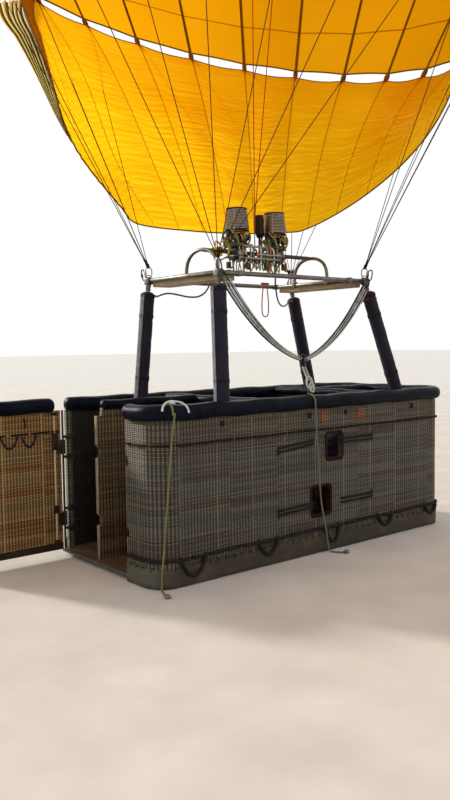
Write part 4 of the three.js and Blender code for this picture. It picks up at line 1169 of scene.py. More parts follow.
def coil(x, y):
    """The vaporising coil: a helix whose radius follows the can's taper."""
    share = np.linspace(0, 1, COIL_TURNS * 28)
    height = CAN_BASE + 0.01 + (CAN_HEIGHT - 0.02) * share
    radius = np.interp(share, [0, 0.16, 1], [CAN_BOTTOM, CAN_BOTTOM - 0.001, CAN_TOP]) - 0.0055
    return tube(polar(radius, 2 * np.pi * COIL_TURNS * share, height) + [x, y, 0], 0.0041, 8)


def make_can(name, x, y):
    """Coil, inner shield with a rolled rim, and four upright straps that hold the coil's turns."""
    at = np.array([x, y, CAN_BASE])
    b, t, top = CAN_BOTTOM - 0.013, CAN_TOP - 0.013, CAN_HEIGHT
    shield = [(b - 0.003, 0.004), (b, 0.004), (b, 0.03), (t, top - 0.01), (t + 0.003, top - 0.003),
              (t - 0.001, top), (t - 0.004, top - 0.004), (t - 0.003, top - 0.012), (b - 0.003, 0.03)]
    rim = [(CAN_TOP - 0.006, top - 0.009), (CAN_TOP + 0.003, top - 0.009), (CAN_TOP + 0.005, top - 0.005),
           (CAN_TOP + 0.003, top), (CAN_TOP - 0.006, top)]
    base = [(CAN_BOTTOM - 0.02, 0), (CAN_BOTTOM - 0.001, 0), (CAN_BOTTOM, 0.003), (CAN_BOTTOM - 0.002, 0.007),
            (CAN_BOTTOM - 0.02, 0.007)]
    rings = [lathe(profile, at, sides=40, closed=True) for profile in (shield, rim, base)]
    reach, height = np.array([CAN_BOTTOM, CAN_BOTTOM, CAN_TOP]) + 0.001, np.array([0.002, 0.03, top - 0.004])
    straps = [strap(at + polar(reach, a, height), polar(1, a + np.pi / 2, 0), 0.012, 0.003)
              for a in np.radians([38, 128, 218, 308])]
    piece(f"can_{name}", coil(x, y), COIL_STEEL, replaces=[f"burner_can_{name}"])
    piece(f"can_shield_{name}", rings, BURNT_STEEL)
    piece(f"can_straps_{name}", straps, TAN, flat=True)


CAN_PLACES = {"left": BURNER_X - BURNER_SPREAD, "right": BURNER_X + BURNER_SPREAD}
for side, x in CAN_PLACES.items():
    make_can(side, x, FRAME_Y)
print("cans ready")


# %% Burner body
BLOCK_Z = FRAME_Z + HOOP_RISE  # the hoops' top, where the burner's cross bar lies


def elbow_pipe(points, radius, sides=10, reference=(0.1, 1, 0)):
    """A pipe that turns its corners softly."""
    return tube(smooth_line(points, 12 * len(points)), radius, sides, reference)


def jets(x, y):
    """A brass funnel, the ring pipe round it and the eight small jets on the ring."""
    funnel = [(0.012, -0.05), (0.02, -0.046), (0.024, -0.03), (0.05, -0.004), (0.052, 0.004), (0.046, 0.004),
              (0.02, -0.026), (0.012, -0.03)]
    nozzles = [bar(foot, foot + [0, 0, 0.032], 0.006, 8) for foot in ring((x, y, CAN_BASE - 0.02), 0.062, 8)]
    pipe = tube(ring((x, y, CAN_BASE - 0.018), 0.062, 30), 0.006, 8, closed=True)
    return joined(lathe(funnel, (x, y, CAN_BASE), sides=28), pipe, *nozzles)


def gauge(centre, ahead):
    """A pressure gauge: a shallow round case."""
    profile = [(0.006, -0.02), (0.024, -0.018), (0.027, -0.014), (0.027, 0.004), (0.024, 0.006),
               (0.022, 0.002)]
    return lathe(profile, centre, ahead, 24)


def nest(x, y, low, high, count, chance):
    """Short pipes that lean and bow outwards between two levels round a can's stem."""
    pipes = []
    for n in range(count):
        a = 2 * np.pi * (n + 0.5 * chance.uniform()) / count
        b = a + chance.uniform(-0.5, 0.5)
        start = np.array([x + 0.058 * np.cos(a), y + 0.045 * np.sin(a), low])
        end = np.array([x + 0.075 * np.cos(b), y + 0.07 * np.sin(b), high])
        bow = polar(chance.uniform(0.015, 0.04), a, 0)
        pipes.append(elbow_pipe([start, (start + end) / 2 + bow, end], chance.uniform(0.006, 0.0095)))
    return pipes


def make_plumbing():
    """Manifolds and valve bodies between block and cans, and bent pipes that hang below the block."""
    chance = np.random.default_rng(11)
    y, top = FRAME_Y, BLOCK_Z
    olive, copper, black, pale = [], [], [], []
    nut = [(0.006, 0), (0.013, 0.002), (0.013, 0.01), (0.006, 0.012)]
    for x in CAN_PLACES.values():
        olive += nest(x, y, top + 0.06, CAN_BASE - 0.012, 7, chance)
        copper += nest(x, y, top + 0.06, CAN_BASE - 0.03, 4, chance)
        black.append(block_at(x, y, CAN_BASE - 0.053, 0.085, 0.065, 0.009, 0.005))
        for dx, dy in ((0.06, -0.05), (-0.055, -0.05), (0.05, 0.045), (-0.045, 0.05), (0.0, -0.062)):
            middle = top + 0.095 + chance.uniform(0, 0.02)
            black.append(block_at(x + dx, y + dy, middle, 0.022, 0.018, 0.02))
            copper.append(lathe(nut, (x + dx, y + dy, middle + 0.02), sides=6))
    beside, out = np.array([0, 0.2, 0.5, 0.8, 1]), np.array([0.03, 0.04, 0.045, 0.04, 0.02])
    lift, lower = np.array([0.01, 0, 0, 0, 0.01]), np.array([0, 0.7, 1, 0.7, 0])
    for n in range(16):
        x = BURNER_X - 0.25 + 0.5 * (n + 0.4 * chance.uniform()) / 15
        side = -1 if n % 2 else 1
        wide, drop = chance.uniform(0.02, 0.06), chance.uniform(0.05, 0.11)
        line = np.column_stack([x + beside * wide, y + side * out, top - 0.06 + lift - lower * drop])
        (olive if n % 3 else copper).append(elbow_pipe(line, chance.uniform(0.0045, 0.007)))
        if n % 3 == 0:
            black.append(block_at(x, y + side * 0.045, top - 0.095, 0.016, 0.014, 0.025))
    for n, x in enumerate(np.linspace(BURNER_X - 0.235, BURNER_X + 0.235, 14)):
        low, high = top - 0.06 - 0.05 * chance.uniform(), top + 0.02 + 0.07 * chance.uniform()
        face = y - 0.058 - 0.012 * chance.uniform()
        line = [(x, face + 0.02, low), (x + 0.004, face, low + 0.02), (x, face, high - 0.02),
                (x - 0.003, face + 0.02, high)]
        (olive, copper, pale, olive)[n % 4].append(elbow_pipe(line, chance.uniform(0.005, 0.0085)))
        if n % 3 == 1:
            black.append(block_at(x, face + 0.009, low + 0.0525, 0.019, 0.015, 0.0175))
    rails = [bar((BURNER_X + start, y - 0.078, top + z), (BURNER_X + end, y - 0.078, top + z), 0.0085)
             for z, start, end in ((0.045, -0.2, 0.02), (-0.012, -0.05, 0.2), (-0.045, -0.24, 0.24))]
    funnel = [(0.008, -0.03), (0.014, -0.026), (0.017, -0.006), (0.03, 0.022), (0.026, 0.022),
              (0.008, -0.006)]
    for name, x in CAN_PLACES.items():
        cup = lathe(funnel, (x + 0.05, y - 0.045, CAN_BASE - 0.03), sides=20)
        piece(f"pilot_funnel_{name}", cup, YELLOW_BRASS)
    piece("burner_drain_tubes", pale, NYLON)
    piece("burner_rails", rails, STEEL)
    piece("burner_manifold_pipes", olive, OLIVE)
    piece("burner_copper_pipes", copper, COPPER)
    piece("burner_valves", black, BLACK)


def tap(x, y, z, side):
    """A blast valve: a stem and a bent lever."""
    stem = bar((x, y, z), (x, y + side * 0.05, z), 0.009, 10)
    lever = elbow_pipe([(x, y + side * 0.045, z + 0.004), (x - 0.03, y + side * 0.06, z - 0.01),
                        (x - 0.075, y + side * 0.062, z - 0.03)], 0.005, 8, (0.2, 0.3, 1))
    return joined(stem, lever)


def feed_pipes(x, y, top, side):
    """The two pipes that climb from the block to one side of a can, in front of it and behind."""
    ahead = [(x + 0.04 * side, y - 0.05, top + 0.04), (x + 0.05 * side, y - 0.078, top + 0.06),
             (x + 0.07 * side, y - 0.078, CAN_BASE - 0.05), (x + 0.088 * side, y - 0.03, CAN_BASE + 0.01)]
    behind = [(x + 0.035 * side, y + 0.05, top - 0.03), (x + 0.045 * side, y + 0.078, top + 0.02),
              (x + 0.08 * side, y + 0.07, CAN_BASE - 0.04), (x + 0.086 * side, y + 0.03, CAN_BASE + 0.012)]
    return [elbow_pipe(line, 0.008) for line in (ahead, behind)]


def make_burner_body():
    y, top = FRAME_Y, BLOCK_Z
    ends = [(FRAME_X + sign * (FRAME_HALF_L - CROSS_INSET - 0.0113), y, top) for sign in (-1, 1)]
    body = [bar(*ends, 0.016, 20), block_at(BURNER_X, y, top - 0.045, 0.26, 0.035, 0.015, 0.006)]
    pipes, brights, grips, cases, dials = [], [], [], [], []
    for x in CAN_PLACES.values():
        body += [block_at(x, y, top + 0.006, 0.06, 0.05, 0.026, 0.008),
                 block_at(x, y, top + 0.0555, 0.075, 0.06, 0.0195, 0.006),
                 bar((x, y, top + 0.06), (x, y, CAN_BASE - 0.03), 0.026, 16),
                 block_at(x, y, CAN_BASE - 0.0225, 0.1, 0.009, 0.0175),
                 block_at(x, y, CAN_BASE - 0.023, 0.009, 0.085, 0.011)]
        for side in (-1, 1):
            brights += [screw((x + dx, y + side * 0.0595, top + 0.056), (0, side, 0), 0.007)
                        for dx in (-0.052, -0.02, 0.02, 0.052)]
            pipes += feed_pipes(x, y, top, side)
        at = np.array([x - 0.03, y, top - 0.008])
        cases.append(gauge(at - [0, 0.072, 0], (0, -1, 0)))
        dials.append(bar(at - [0, 0.0725, 0], at - [0, 0.0755, 0], 0.0215, 24))
        brights.append(bar(at - [0, 0.06, 0], at - [0, 0.03, 0.012], 0.007, 10))
        grips += [tap(x + 0.03, y - 0.045, top - 0.03, -1), tap(x - 0.02, y + 0.045, top - 0.03, 1)]
    hexagon = [(0.009, -0.022), (0.012, -0.02), (0.012, -0.006), (0.0105, -0.004), (0.0105, 0.002)]
    brights += [lathe(hexagon, (*fitting, top - 0.06), sides=6) for _, fitting, _ in HOSES.values()]
    piece("burner_body", body, BLACK, replaces=["burner_block"], bevel=0.0008)
    piece("burner_pipes", pipes, OLIVE)
    piece("burner_fittings", brights, BRASS)
    piece("blast_levers", grips + cases, BLACK)
    dial = Finish("rope_cream", "gauge_dial", roughness=0.35)
    dial.set(color=dial.ramp(dial.noise(0.01, 4), (0.3, (0.16, 0.15, 0.12)), (0.7, (0.36, 0.35, 0.31))))
    piece("gauge_dials", dials, dial)
    piece("burner_jets", [jets(x, y) for x in CAN_PLACES.values()], BRASS)


def make_whisper_burner():
    """The quiet burner between the cans: a slim steel tube with a slotted cap on its own pipe."""
    x, y = 0.008, FRAME_Y + 0.03
    profile = [(0.01, 2.41), (0.02, 2.415), (0.03, 2.44), (0.037, 2.45), (0.034, 2.575), (0.037, 2.58),
               (0.035, 2.59), (0.029, 2.59), (0.028, 2.46)]
    parts = [lathe(profile, (x, y, 0), sides=28), bar((x, y, 2.25), (x, y, 2.42), 0.009)]
    parts += [tube(ring((x, y, z), 0.0365, 24), 0.0025, 6, closed=True) for z in np.linspace(2.46, 2.56, 8)]
    piece("whisper_burner", parts, BURNT_STEEL)


make_burner_body()
make_plumbing()
make_whisper_burner()
print("burner ready")

# %% [markdown]
# ## Uprights
# Nylon rods keep the burner well above head height, and padded sleeves of coated cloth hide the rods
# and the fuel hoses. A sleeve is a stuffed tube closed by a long seam, so it creases a little across and
# draws in at its ends. Webbing bands hold it, and a pale strip along its outer side is a painted
# highlight, standing for the lit side of the near sleeve.


# %% Upright finishes
def woven_nylon():
    """Tightly woven cloth: a checker of threads 1.2 mm apart, faded and dusty in clouds."""
    f = Finish("sleeve_navy", specular=0.25, sheen=0.04)
    x, y, z = f.split("Object")
    turn = 2 * np.pi / 0.0012
    weave = ((x + y) * turn).of("SINE") * (z * turn).of("SINE")
    fade = f.noise(0.12, 5)
    color = f.ramp(fade + weave * 0.08, (0.25, (0.004, 0.003, 0.009)), (0.8, (0.02, 0.013, 0.032)))
    f.set(color=color, roughness=fade * 0.25 + 0.63)
    f.bump(weave * 0.5 + f.noise(0.02, 4) * 3, 0.0005)
    return f


def webbing(slot, name, dark, light):
    """Flat woven tape: fine ribs across its length, from the map."""
    f = Finish(slot, name, specular=0.25)
    _, length, _ = f.split()
    ribs = (length * 2600).of("SINE")
    fade = f.noise(0.05, 4)
    f.set(color=f.ramp(fade + ribs * 0.1, (0.25, dark), (0.85, light)), roughness=fade * 0.2 + 0.68)
    f.bump(ribs + f.noise(0.008, 3), 0.0007)
    return f


NAVY = woven_nylon()
BLACK_WEB = webbing("webbing", "webbing_black", (0.003, 0.003, 0.003), (0.016, 0.014, 0.012))
GREY_WEB = webbing("webbing", "webbing_grey", (0.12, 0.13, 0.12), (0.35, 0.36, 0.33))
# Pale webbing whose light colour is a painted highlight.
PALE_HIGHLIGHT_WEB = webbing("webbing", "webbing_painted_highlight", (0.13, 0.145, 0.17), (0.3, 0.33, 0.37))


# %% Uprights
def sleeve_part(foot, top, seed):
    """A stuffed tube from a tenth to 94% of the rod: its radius swells and creases and draws in at
    both ends."""
    share = np.linspace(*SLEEVE_ENDS, 150)
    path = foot + (top - foot) * share[:, None]
    length = along(path)
    from_end = np.minimum(length, length[-1] - length)
    rounding = np.sqrt(np.clip(1 - (1 - np.clip(from_end / 0.03, 0, 1)) ** 2, 0.09, 1))
    creases = lambda angle, distance: (1 + 0.02 * wobble(angle, distance / 0.05, 1.4, seed)
                                       + 0.012 * wobble(angle * 0.5, distance / 0.014, 2.0, seed + 9))
    return tube(path, 0.0535 * rounding, 28, (1, 0, 0), ripple=creases)


def make_uprights():
    bands, highlight_strips, lashing = [], [], []
    for number, (name, (x_sign, y_sign)) in enumerate(SIGNS.items()):
        foot, top = upright_ends(name)
        ahead = unit(top - foot)
        piece(f"rod_{name}", bar(foot, top - ahead * 0.03, ROD, 20), NYLON, replaces=[f"upright_rod_{name}"])
        part = sleeve_part(foot, top, number)
        piece(f"sleeve_{name}", part, NAVY, replaces=[f"upright_sleeve_{name}"])
        away = np.array([x_sign * 0.985, 0.166 if y_sign < 0 else -0.166, 0])
        out = unit(away - away @ ahead * ahead)
        side = np.cross(ahead, out)
        line = foot + (top - foot) * np.linspace(SLEEVE_ENDS[0] + 0.02, SLEEVE_ENDS[1] - 0.02, 60)[:, None]
        # A pale strip on each sleeve's outer side: a painted highlight for the lit side of the near sleeve.
        highlight_strips.append(strap(line + out * 0.0545, side, 0.042, 0.003))
        for share in (0.16, 0.45, 0.8, 0.915):
            band = ring(foot + (top - foot) * share, 0.0552, 32, out, side)
            bands.append(strap(band, ahead, 0.028, 0.003, closed=True))
        for share in SLEEVE_ENDS[1] + 0.006 + 0.0055 * np.arange(6):
            turn = ring(foot + (top - foot) * share, 0.0165, 16, out, side)
            lashing.append(tube(turn, 0.0042, 6, ahead, closed=True))
    piece("sleeve_bands", bands, BLACK_WEB)
    piece("sleeve_strips", highlight_strips, PALE_HIGHLIGHT_WEB)
    piece("rod_lashings", lashing, GREY_WEB)


make_uprights()
print("uprights ready")

# %% [markdown]
# ## Restraint bridle and corner tackle
# Two legs of webbing and cord run from the front corners of the frame to one ring and on to the rim; the
# ropes that hold the balloon on the ground are made fast to them. Each corner also carries a spare
# karabiner, and the near one a binding of yellow tape.


# %% Bridle
KNOT = np.array([-0.128, -0.566, 1.445])
BRIDLE_SAG = 0.11


def slack_line(start, end, first, last, count=36):
    """The stretch from share `first` to `last` of a parabola that hangs BRIDLE_SAG under its chord."""
    share = np.linspace(first, last, count)[:, None]
    return start + (end - start) * share - [0, 0, 4 * BRIDLE_SAG] * share * (1 - share)


def make_bridle():
    legs, hooks, cords = [], [], []
    rim = np.array([-0.119, -HALF_W + WALL / 2, RIM_TOP + 0.012])
    for name in ("front_left", "front_right"):
        start = corner_of(name, FRAME_Z - 0.004) - [0, 0.036, 0]
        pull = unit(KNOT - start - [0, 0, 4 * BRIDLE_SAG])
        side = unit(np.cross(KNOT - start, (0, 1, 0)))
        hooks.append(karabiner(start + pull * 0.03, pull, side, 0.1, 0.05))
        line = slack_line(start, KNOT, 0.06, 0.97)
        closing = side * (0.7 + 0.3 * np.cos(np.pi * np.linspace(0, 1, len(line))[:, None]))
        legs += [strap(line + closing * offset, np.cross(pull, side), 0.016, 0.005)
                 for offset in (-0.03, -0.006, 0.02)]
        cords += [rope(line + closing * offset + [0, -0.005, 0], 0.0055, (0, 1, 0.1), lay=0.03)
                  for offset in (-0.018, 0.007, 0.032)]
    hooks.append(karabiner(KNOT - [0, 0, 0.005], (0, 0, 1), (1, 0, 0), 0.09, 0.06, 0.006))
    hooks.append(karabiner(rim + [0, 0, 0.05], (0, 0, 1), (1, 0, 0), 0.085, 0.046))
    low, high = rim + [0, 0, 0.09], KNOT - [0, 0, 0.05]
    tail = low + (high - low) * np.linspace(0, 1, 24)[:, None]
    legs.append(strap(tail, (0.3, 1, 0), 0.02, 0.004))
    cords += [rope(tail + [offset, -0.008, 0], 0.0075, (0, 1, 0.1)) for offset in (-0.014, 0.012)]
    hitches = ((-0.004, -0.012, 0.075), 0.03, 0.045), ((0.008, -0.024, 0.045), 0.022, 0.035)
    for offset, wide, tall in hitches:
        turn = ring(rim + offset, 1, 24, (wide, 0, 0), (0, 0.2 * tall, tall))
        cords.append(tube(turn, 0.007, 8, (0, 1, 0.1), closed=True))
    pale = laid_fibres("webbing", (0.24, 0.26, 0.25), (0.6, 0.62, 0.58), name="bridle_cord")
    piece("bridle_webbing", legs, BLACK_WEB, replaces=["restraint_bridle"])
    piece("bridle_cords", cords, pale)
    piece("bridle_karabiners", hooks, DARK_STEEL)


def make_corner_tackle():
    hooks = []
    for name, (x_sign, y_sign) in SIGNS.items():
        middle = corner_of(name) + [x_sign * 0.02, y_sign * 0.04, 0.045]
        hooks.append(karabiner(middle, (0.2 * x_sign, 0, 1), (0, 1, 0), 0.085, 0.045))
    piece("corner_karabiners", hooks, DARK_STEEL)
    near = corner_of("front_left") + [0.015, 0, 0.12]
    turns = [ring(near + [0, 0, 0.012 * n], 0.018, 16, (1, 0, 0.3 * np.sin(n * 2.1)), (0, 1, 0.2))
             for n in range(5)]
    tails = [[(-0.02, -0.02, 0.07), (0.03, -0.024, 0.1), (0.07, -0.02, 0.06), (0.06, -0.02, 0.0),
              (0.03, -0.02, -0.02)],
             [(0, -0.02, 0.06), (-0.045, -0.02, 0.09), (-0.055, -0.018, 0.03)],
             [(0.02, -0.02, 0.1), (0.05, -0.024, 0.06), (0.1, -0.02, 0.03)]]
    yellow = [tube(turn, 0.0065, 6, closed=True) for turn in turns]
    yellow += [strap(smooth_line(near + np.array(tail), 30), (0, 1, 0), 0.017, 0.003) for tail in tails]
    piece("yellow_binding", yellow, webbing("tie_yellow", None, (0.3, 0.2, 0.006), (0.9, 0.68, 0.03)))


def make_red_tie():
    """A red band round the front right sleeve, with a knot that faces the picture and a loose tail."""
    foot, top = upright_ends("front_right")
    ahead = unit(top - foot)
    middle = foot + (top - foot) * (SLEEVE_ENDS[1] - 0.04)
    facing = unit(np.cross(np.cross(ahead, (-0.85, -0.5, 0)), ahead))
    side = np.cross(facing, ahead)
    band = ring(middle, 0.0565, 16, side + ahead * (0.016 / 0.0565), facing)
    knot = middle + 0.058 * facing
    hangs = np.array([(0, 0, 0), (-0.03, -0.004, -0.002), (-0.07, 0, -0.014), (-0.1, 0, -0.036)])
    tail = smooth_line(knot + hangs, 20)
    red = [strap(band, ahead, 0.01, 0.003, closed=True), strap(tail, (0, 0.1, 1), 0.018, 0.004),
           tube(ring(knot, 0.011, 16, side, ahead), 0.006, 6, facing, closed=True)]
    piece("red_tie", red, webbing("line_red", "tie_red", (0.05, 0.004, 0.004), (0.2, 0.015, 0.012)))


make_bridle()
make_corner_tackle()
make_red_tie()
print("bridle ready")

# %% [markdown]
# ## Wicker
# The basket is woven from canes: upright stakes every 26 mm, and thin weavers that pass in front of one
# stake and behind the next, so each stake shows as a rib. The stakes are modelled as a swell of the wall,
# and the weavers, 11.5 mm wide, are relief and colour from the material; that colour holds a painted
# highlight on each rib and painted shade between the ribs and in the gaps between the rows. The weaver
# used a few lots of cane, which gives the level bands of olive, purple-brown, grey and red-brown.

# %% Wicker finish
STAKE, WEAVER = 0.026, 0.0115
CANES = {"grey": (0.07, 0.069, 0.053), "olive": (0.083, 0.058, 0.026), "purple": (0.058, 0.039, 0.024),
         "red": (0.072, 0.033, 0.015)}
LOTS = [(0.0, "purple"), (0.1, "olive"), (0.2, "purple"), (0.23, "red"), (0.27, "purple"), (0.3, "grey"),
        (0.4, "grey"), (0.42, "red"), (0.45, "olive"), (0.48, "grey"), (0.56, "grey"), (0.575, "red"),
        (0.605, "olive"), (0.63, "grey"), (0.69, "grey"), (0.715, "red"), (0.745, "purple"), (0.79, "olive"),
        (1.0, "olive")]


def wicker(name, tint=(1, 1, 1), rib_every=STAKE, between_rib_shade=0.68):
    """Rows of weavers with painted shade in the gaps between them and between the stakes, and a painted
    highlight where they pass over a stake.
    """
    f = Finish("wicker", name, specular=0.3)
    tinted = lambda color: tuple(c * t for c, t in zip(color, tint))
    length, height, _ = f.split()
    drift = f.noise(0.5, 2, "UV", (1, 14, 1)) * 0.012
    row = height * (1 / WEAVER)
    number = row.of("FLOOR")
    over = (length * (np.pi / rib_every) + number * np.pi).of("COSINE")
    wander = f.noise(0.12, 2, "UV", (1, 0.15, 1)) * 0.9
    rib = (length * (2 * np.pi / rib_every) + wander).of("COSINE") * 0.5 + 0.5
    rounding = (row.of("FRACT") * np.pi).of("SINE")
    strand = rounding * (over * 0.1 + rib * 0.3 + 0.6)
    chance = f.scatter(number, (length * 2.3).of("FLOOR"))
    bands = f.ramp((height + drift) * (1 / 1.2), *[(share, tinted(CANES[lot])) for share, lot in LOTS])
    cane = f.noise(0.004, 3, "UV", (0.12, 1, 1))
    stain = f.noise(0.22, 4)
    # The ribs add a painted highlight over each stake.
    tone = chance * 0.4 + cane * 0.3 + stain * 0.3 + rib * 0.22
    # Pale canes: random tone, with the painted highlight on the ribs.
    light = f.mix(tone.smooth(0.42, 0.95) * 0.78, bands, tinted((0.2, 0.183, 0.132)))
    joint = 1 - abs((length * (1 / 0.31) + stain * 0.1).of("FRACT") - 0.5).smooth(0.012, 0.03)
    light = f.mix(joint * 0.6, light, tinted((0.26, 0.24, 0.18)))
    # Painted shade in the gaps between the rows, deepest between the stakes.
    gap = 1 - strand.smooth(0.12, 0.7)
    color = f.mix(gap * 0.92, light, tinted((0.008, 0.006, 0.004)))
    # Painted shade between the stakes, as dark as the last argument asks.
    color = f.mix((1 - rib).smooth(0.25, 0.9) * between_rib_shade, color, tinted((0.01, 0.008, 0.006)))
    f.set(color=color, roughness=cane * 0.3 + 0.42)
    f.bump(strand + cane * 0.15, 0.003)
    return f


WICKER = wicker("wicker_outside")
# A much darker copy of the wicker for the inner faces and inner walls: painted shade inside the basket.
SHADED_WICKER_INSIDE = wicker("wicker_inside_painted_shade", (0.15, 0.13, 0.115))
# A warmer, brighter copy for the open door: painted sunlight on its face.
SUNLIT_WICKER_DOOR = wicker("wicker_door_painted_sunlight", (2.95, 1.98, 1.02), 0.024, 0.6)
WICKER_PARTITION = wicker("wicker_partition", (1.3, 1.0, 0.7))
print("wicker ready")


# %% Plan of the walls
def plan_line():
    """Centre line of the walls from the doorway's near side round to the rear wall's free end: places
    and outward directions, which point to the right of the way ahead."""
    places, outward = [(-HALF_L + WALL / 2, STUB_END)], [(-1, 0)]
    x, y = HALF_L - CORNER, HALF_W - CORNER
    for start, centre in ((180, (-x, -y)), (270, (x, -y)), (360, (x, y))):
        a = np.radians(np.linspace(start, start + 90, 31))
        spokes = np.stack([np.cos(a), np.sin(a)], axis=1)
        places.extend(centre + (CORNER - WALL / 2) * spokes)
        outward.extend(spokes)
    places.append((REAR_END, HALF_W - WALL / 2))
    outward.append((0, 1))
    return np.array(places), np.array(outward)


PLAN, PLAN_OUT = plan_line()
PLAN_LENGTH = along(PLAN)
CORNER_ARC = (CORNER - WALL / 2) * np.pi / 2
FRONT_START = STUB_END + HALF_W - CORNER + CORNER_ARC
FRONT_LENGTH, END_LENGTH = 2 * (HALF_L - CORNER), 2 * (HALF_W - CORNER)
FRONT_STOP = FRONT_START + FRONT_LENGTH
REAR_START = FRONT_STOP + 2 * CORNER_ARC + END_LENGTH


def station(distance):
    """Place on the centre line and outward direction at distances from the doorway."""
    look = lambda table: np.stack([np.interp(distance, PLAN_LENGTH, column) for column in table.T], axis=-1)
    return look(PLAN), unit(look(PLAN_OUT))


def front(x):
    """Distance along the plan of a place on the front wall."""
    return FRONT_START + x + HALF_L - CORNER


def rear(x):
    """Distance along the plan of a place on the rear wall, which runs the other way."""
    return REAR_START + HALF_L - CORNER - x


def around(distance, out, height):
    """Points beside the wall: the station moved outwards and raised."""
    place, outward = station(distance)
    flat = place + np.broadcast_to(out, distance.shape)[:, None] * outward
    return np.column_stack([flat, np.broadcast_to(height, distance.shape)])


def run(start, stop, step):
    """Even distances from start to stop, about one step apart."""
    return np.linspace(start, stop, max(2, int(round(abs(stop - start) / step)) + 1))


# %% Woven walls
def woven(distance, place, outward, low, top, thick=WALL, row=0.048, notch=0.0, sills=()):
    """Outer face downwards, then inner face upwards, carried along the wall. Both faces swell by 2.2 mm
    at each stake and wander by a millimetre; notches are bitten out of the starting edge, and the rows
    nearest to the sills are moved onto them, so that openings can be cut there."""
    share = np.linspace(1, 0, int(round((WALL_TOP - low) / row)) + 1)
    for sill in sills:
        wanted = (sill - low) / (WALL_TOP - low)
        share[np.abs(share - wanted).argmin()] = wanted
    share = np.concatenate([share, share[::-1]])
    side = np.repeat([1.0, -1.0], len(share) // 2)
    top = np.broadcast_to(top, distance.shape)[:, None]
    height = low + (top - low) * share
    stake = (0.5 + 0.5 * np.cos(2 * np.pi * distance / STAKE))[:, None]
    inward = np.minimum(1, np.minimum(share, 1 - share) * 40 + 0.2)
    across = side * (thick / 2 - 0.001 + 0.0022 * stake * inward)
    across += 0.001 * wobble(distance[:, None], height, 0.3)
    ahead = np.column_stack([-outward[:, 1], outward[:, 0]])
    bitten = sum((height > foot) & (height < foot + 0.072) for foot in (0.3, 0.78))
    bite = notch * bitten * np.clip(1 - (distance - distance[0]) / 0.04, 0, 1)[:, None]
    flat = place[:, None] + outward[:, None] * across[..., None] + ahead[:, None] * bite[..., None]
    points = np.concatenate([flat, height[..., None]], axis=-1)
    heights = np.concatenate([height, height[:, :1]], axis=1)
    uv = np.stack(np.broadcast_arrays(distance[:, None], heights), axis=-1)
    return grid(points, wrap_u=True, capped=True, uv=uv)


def curved_wall(start, stop, **changes):
    distance = run(start, stop, STAKE / 4)
    return woven(distance, *station(distance), WALL_LOW, WALL_TOP, **changes)


def straight_wall(start, end, low, top, thick, offset=0.0, **changes):
    """A wall along a straight line in plan; `top` is a function of the metres from its start."""
    start, end = np.asarray(start, float), np.asarray(end, float)
    length = np.linalg.norm(end - start)
    distance = run(0, length, STAKE / 4)
    ahead = (end - start) / length
    place = start + distance[:, None] * ahead
    outward = np.broadcast_to([ahead[1], -ahead[0]], place.shape)
    return woven(distance + offset, place, outward, low, top(distance, length), thick, **changes)


FOOT_HOLES = [(0.04, 0.69, 0.228, 0.897), (-0.119, 0.28, 0.095, 0.507)]


def without(part, windows):
    """The part less the quads whose middle lies in a window of its map."""
    middle = part[2].mean(axis=1)
    keep = np.ones(len(middle), bool)
    for low_s, low_z, high_s, high_z in windows:
        keep &= ~((middle > (low_s, low_z)) & (middle < (high_s, high_z))).all(axis=1)
    return part[0], part[1][keep], part[2][keep]


def line_inside(obj, part):
    """The walls' inner face gets the darker finish, whose darkness is painted shade: a quad is inside
    where its middle lies within the rounded rectangle that the walls' centre line draws."""
    middle = np.abs(part[0][part[1]].mean(axis=1)[:, :2])
    past = np.maximum(middle - [HALF_L - CORNER, HALF_W - CORNER], 0)
    inner = np.linalg.norm(past, axis=1) < CORNER - WALL / 2
    obj.data.materials.append(SHADED_WICKER_INSIDE.material)
    obj.data.polygons.foreach_set("material_index", inner.astype(np.int32))


def make_outer_walls():
    gap = 0.0003
    front_windows = [(front(a), b, front(c), d) for a, b, c, d in FOOT_HOLES]
    rear_windows = [(rear(c), b, rear(a), d) for a, b, c, d in FOOT_HOLES]
    sills = [height for _, low, _, high in FOOT_HOLES for height in (low, high)]
    walls = {
        "front_wall": without(curved_wall(FRONT_START + gap, FRONT_STOP - gap, sills=sills), front_windows),
        "rear_wall": without(curved_wall(REAR_START + gap, PLAN_LENGTH[-1], sills=sills), rear_windows),
        "right_end_wall": curved_wall(FRONT_STOP, REAR_START),
        "door_stub_wall": curved_wall(0, FRONT_START, row=0.024, notch=0.025),
    }
    for name, part in walls.items():
        line_inside(piece(f"woven_{name}", part, WICKER, replaces=[name]), part)


INNER, INNER_LOW, INNER_TOP = 0.03, 0.0483, 1.132
PARTITION_Y, PILOT_LEFT, PILOT_RIGHT = 0.17, -0.56, 0.66
LEFT_PARTITION_END = -HALF_L + WALL + 0.012


def tucked(low, at_start, at_end):
    """Top of an inner wall: lower where it tucks under the rim pad."""
    def top(distance, length):
        tuck = PAD_WIDTH / 2 - WALL / 2
        under = (at_start & (distance < tuck)) | (at_end & (distance > length - tuck))
        return np.where(under, low, INNER_TOP)
    return top


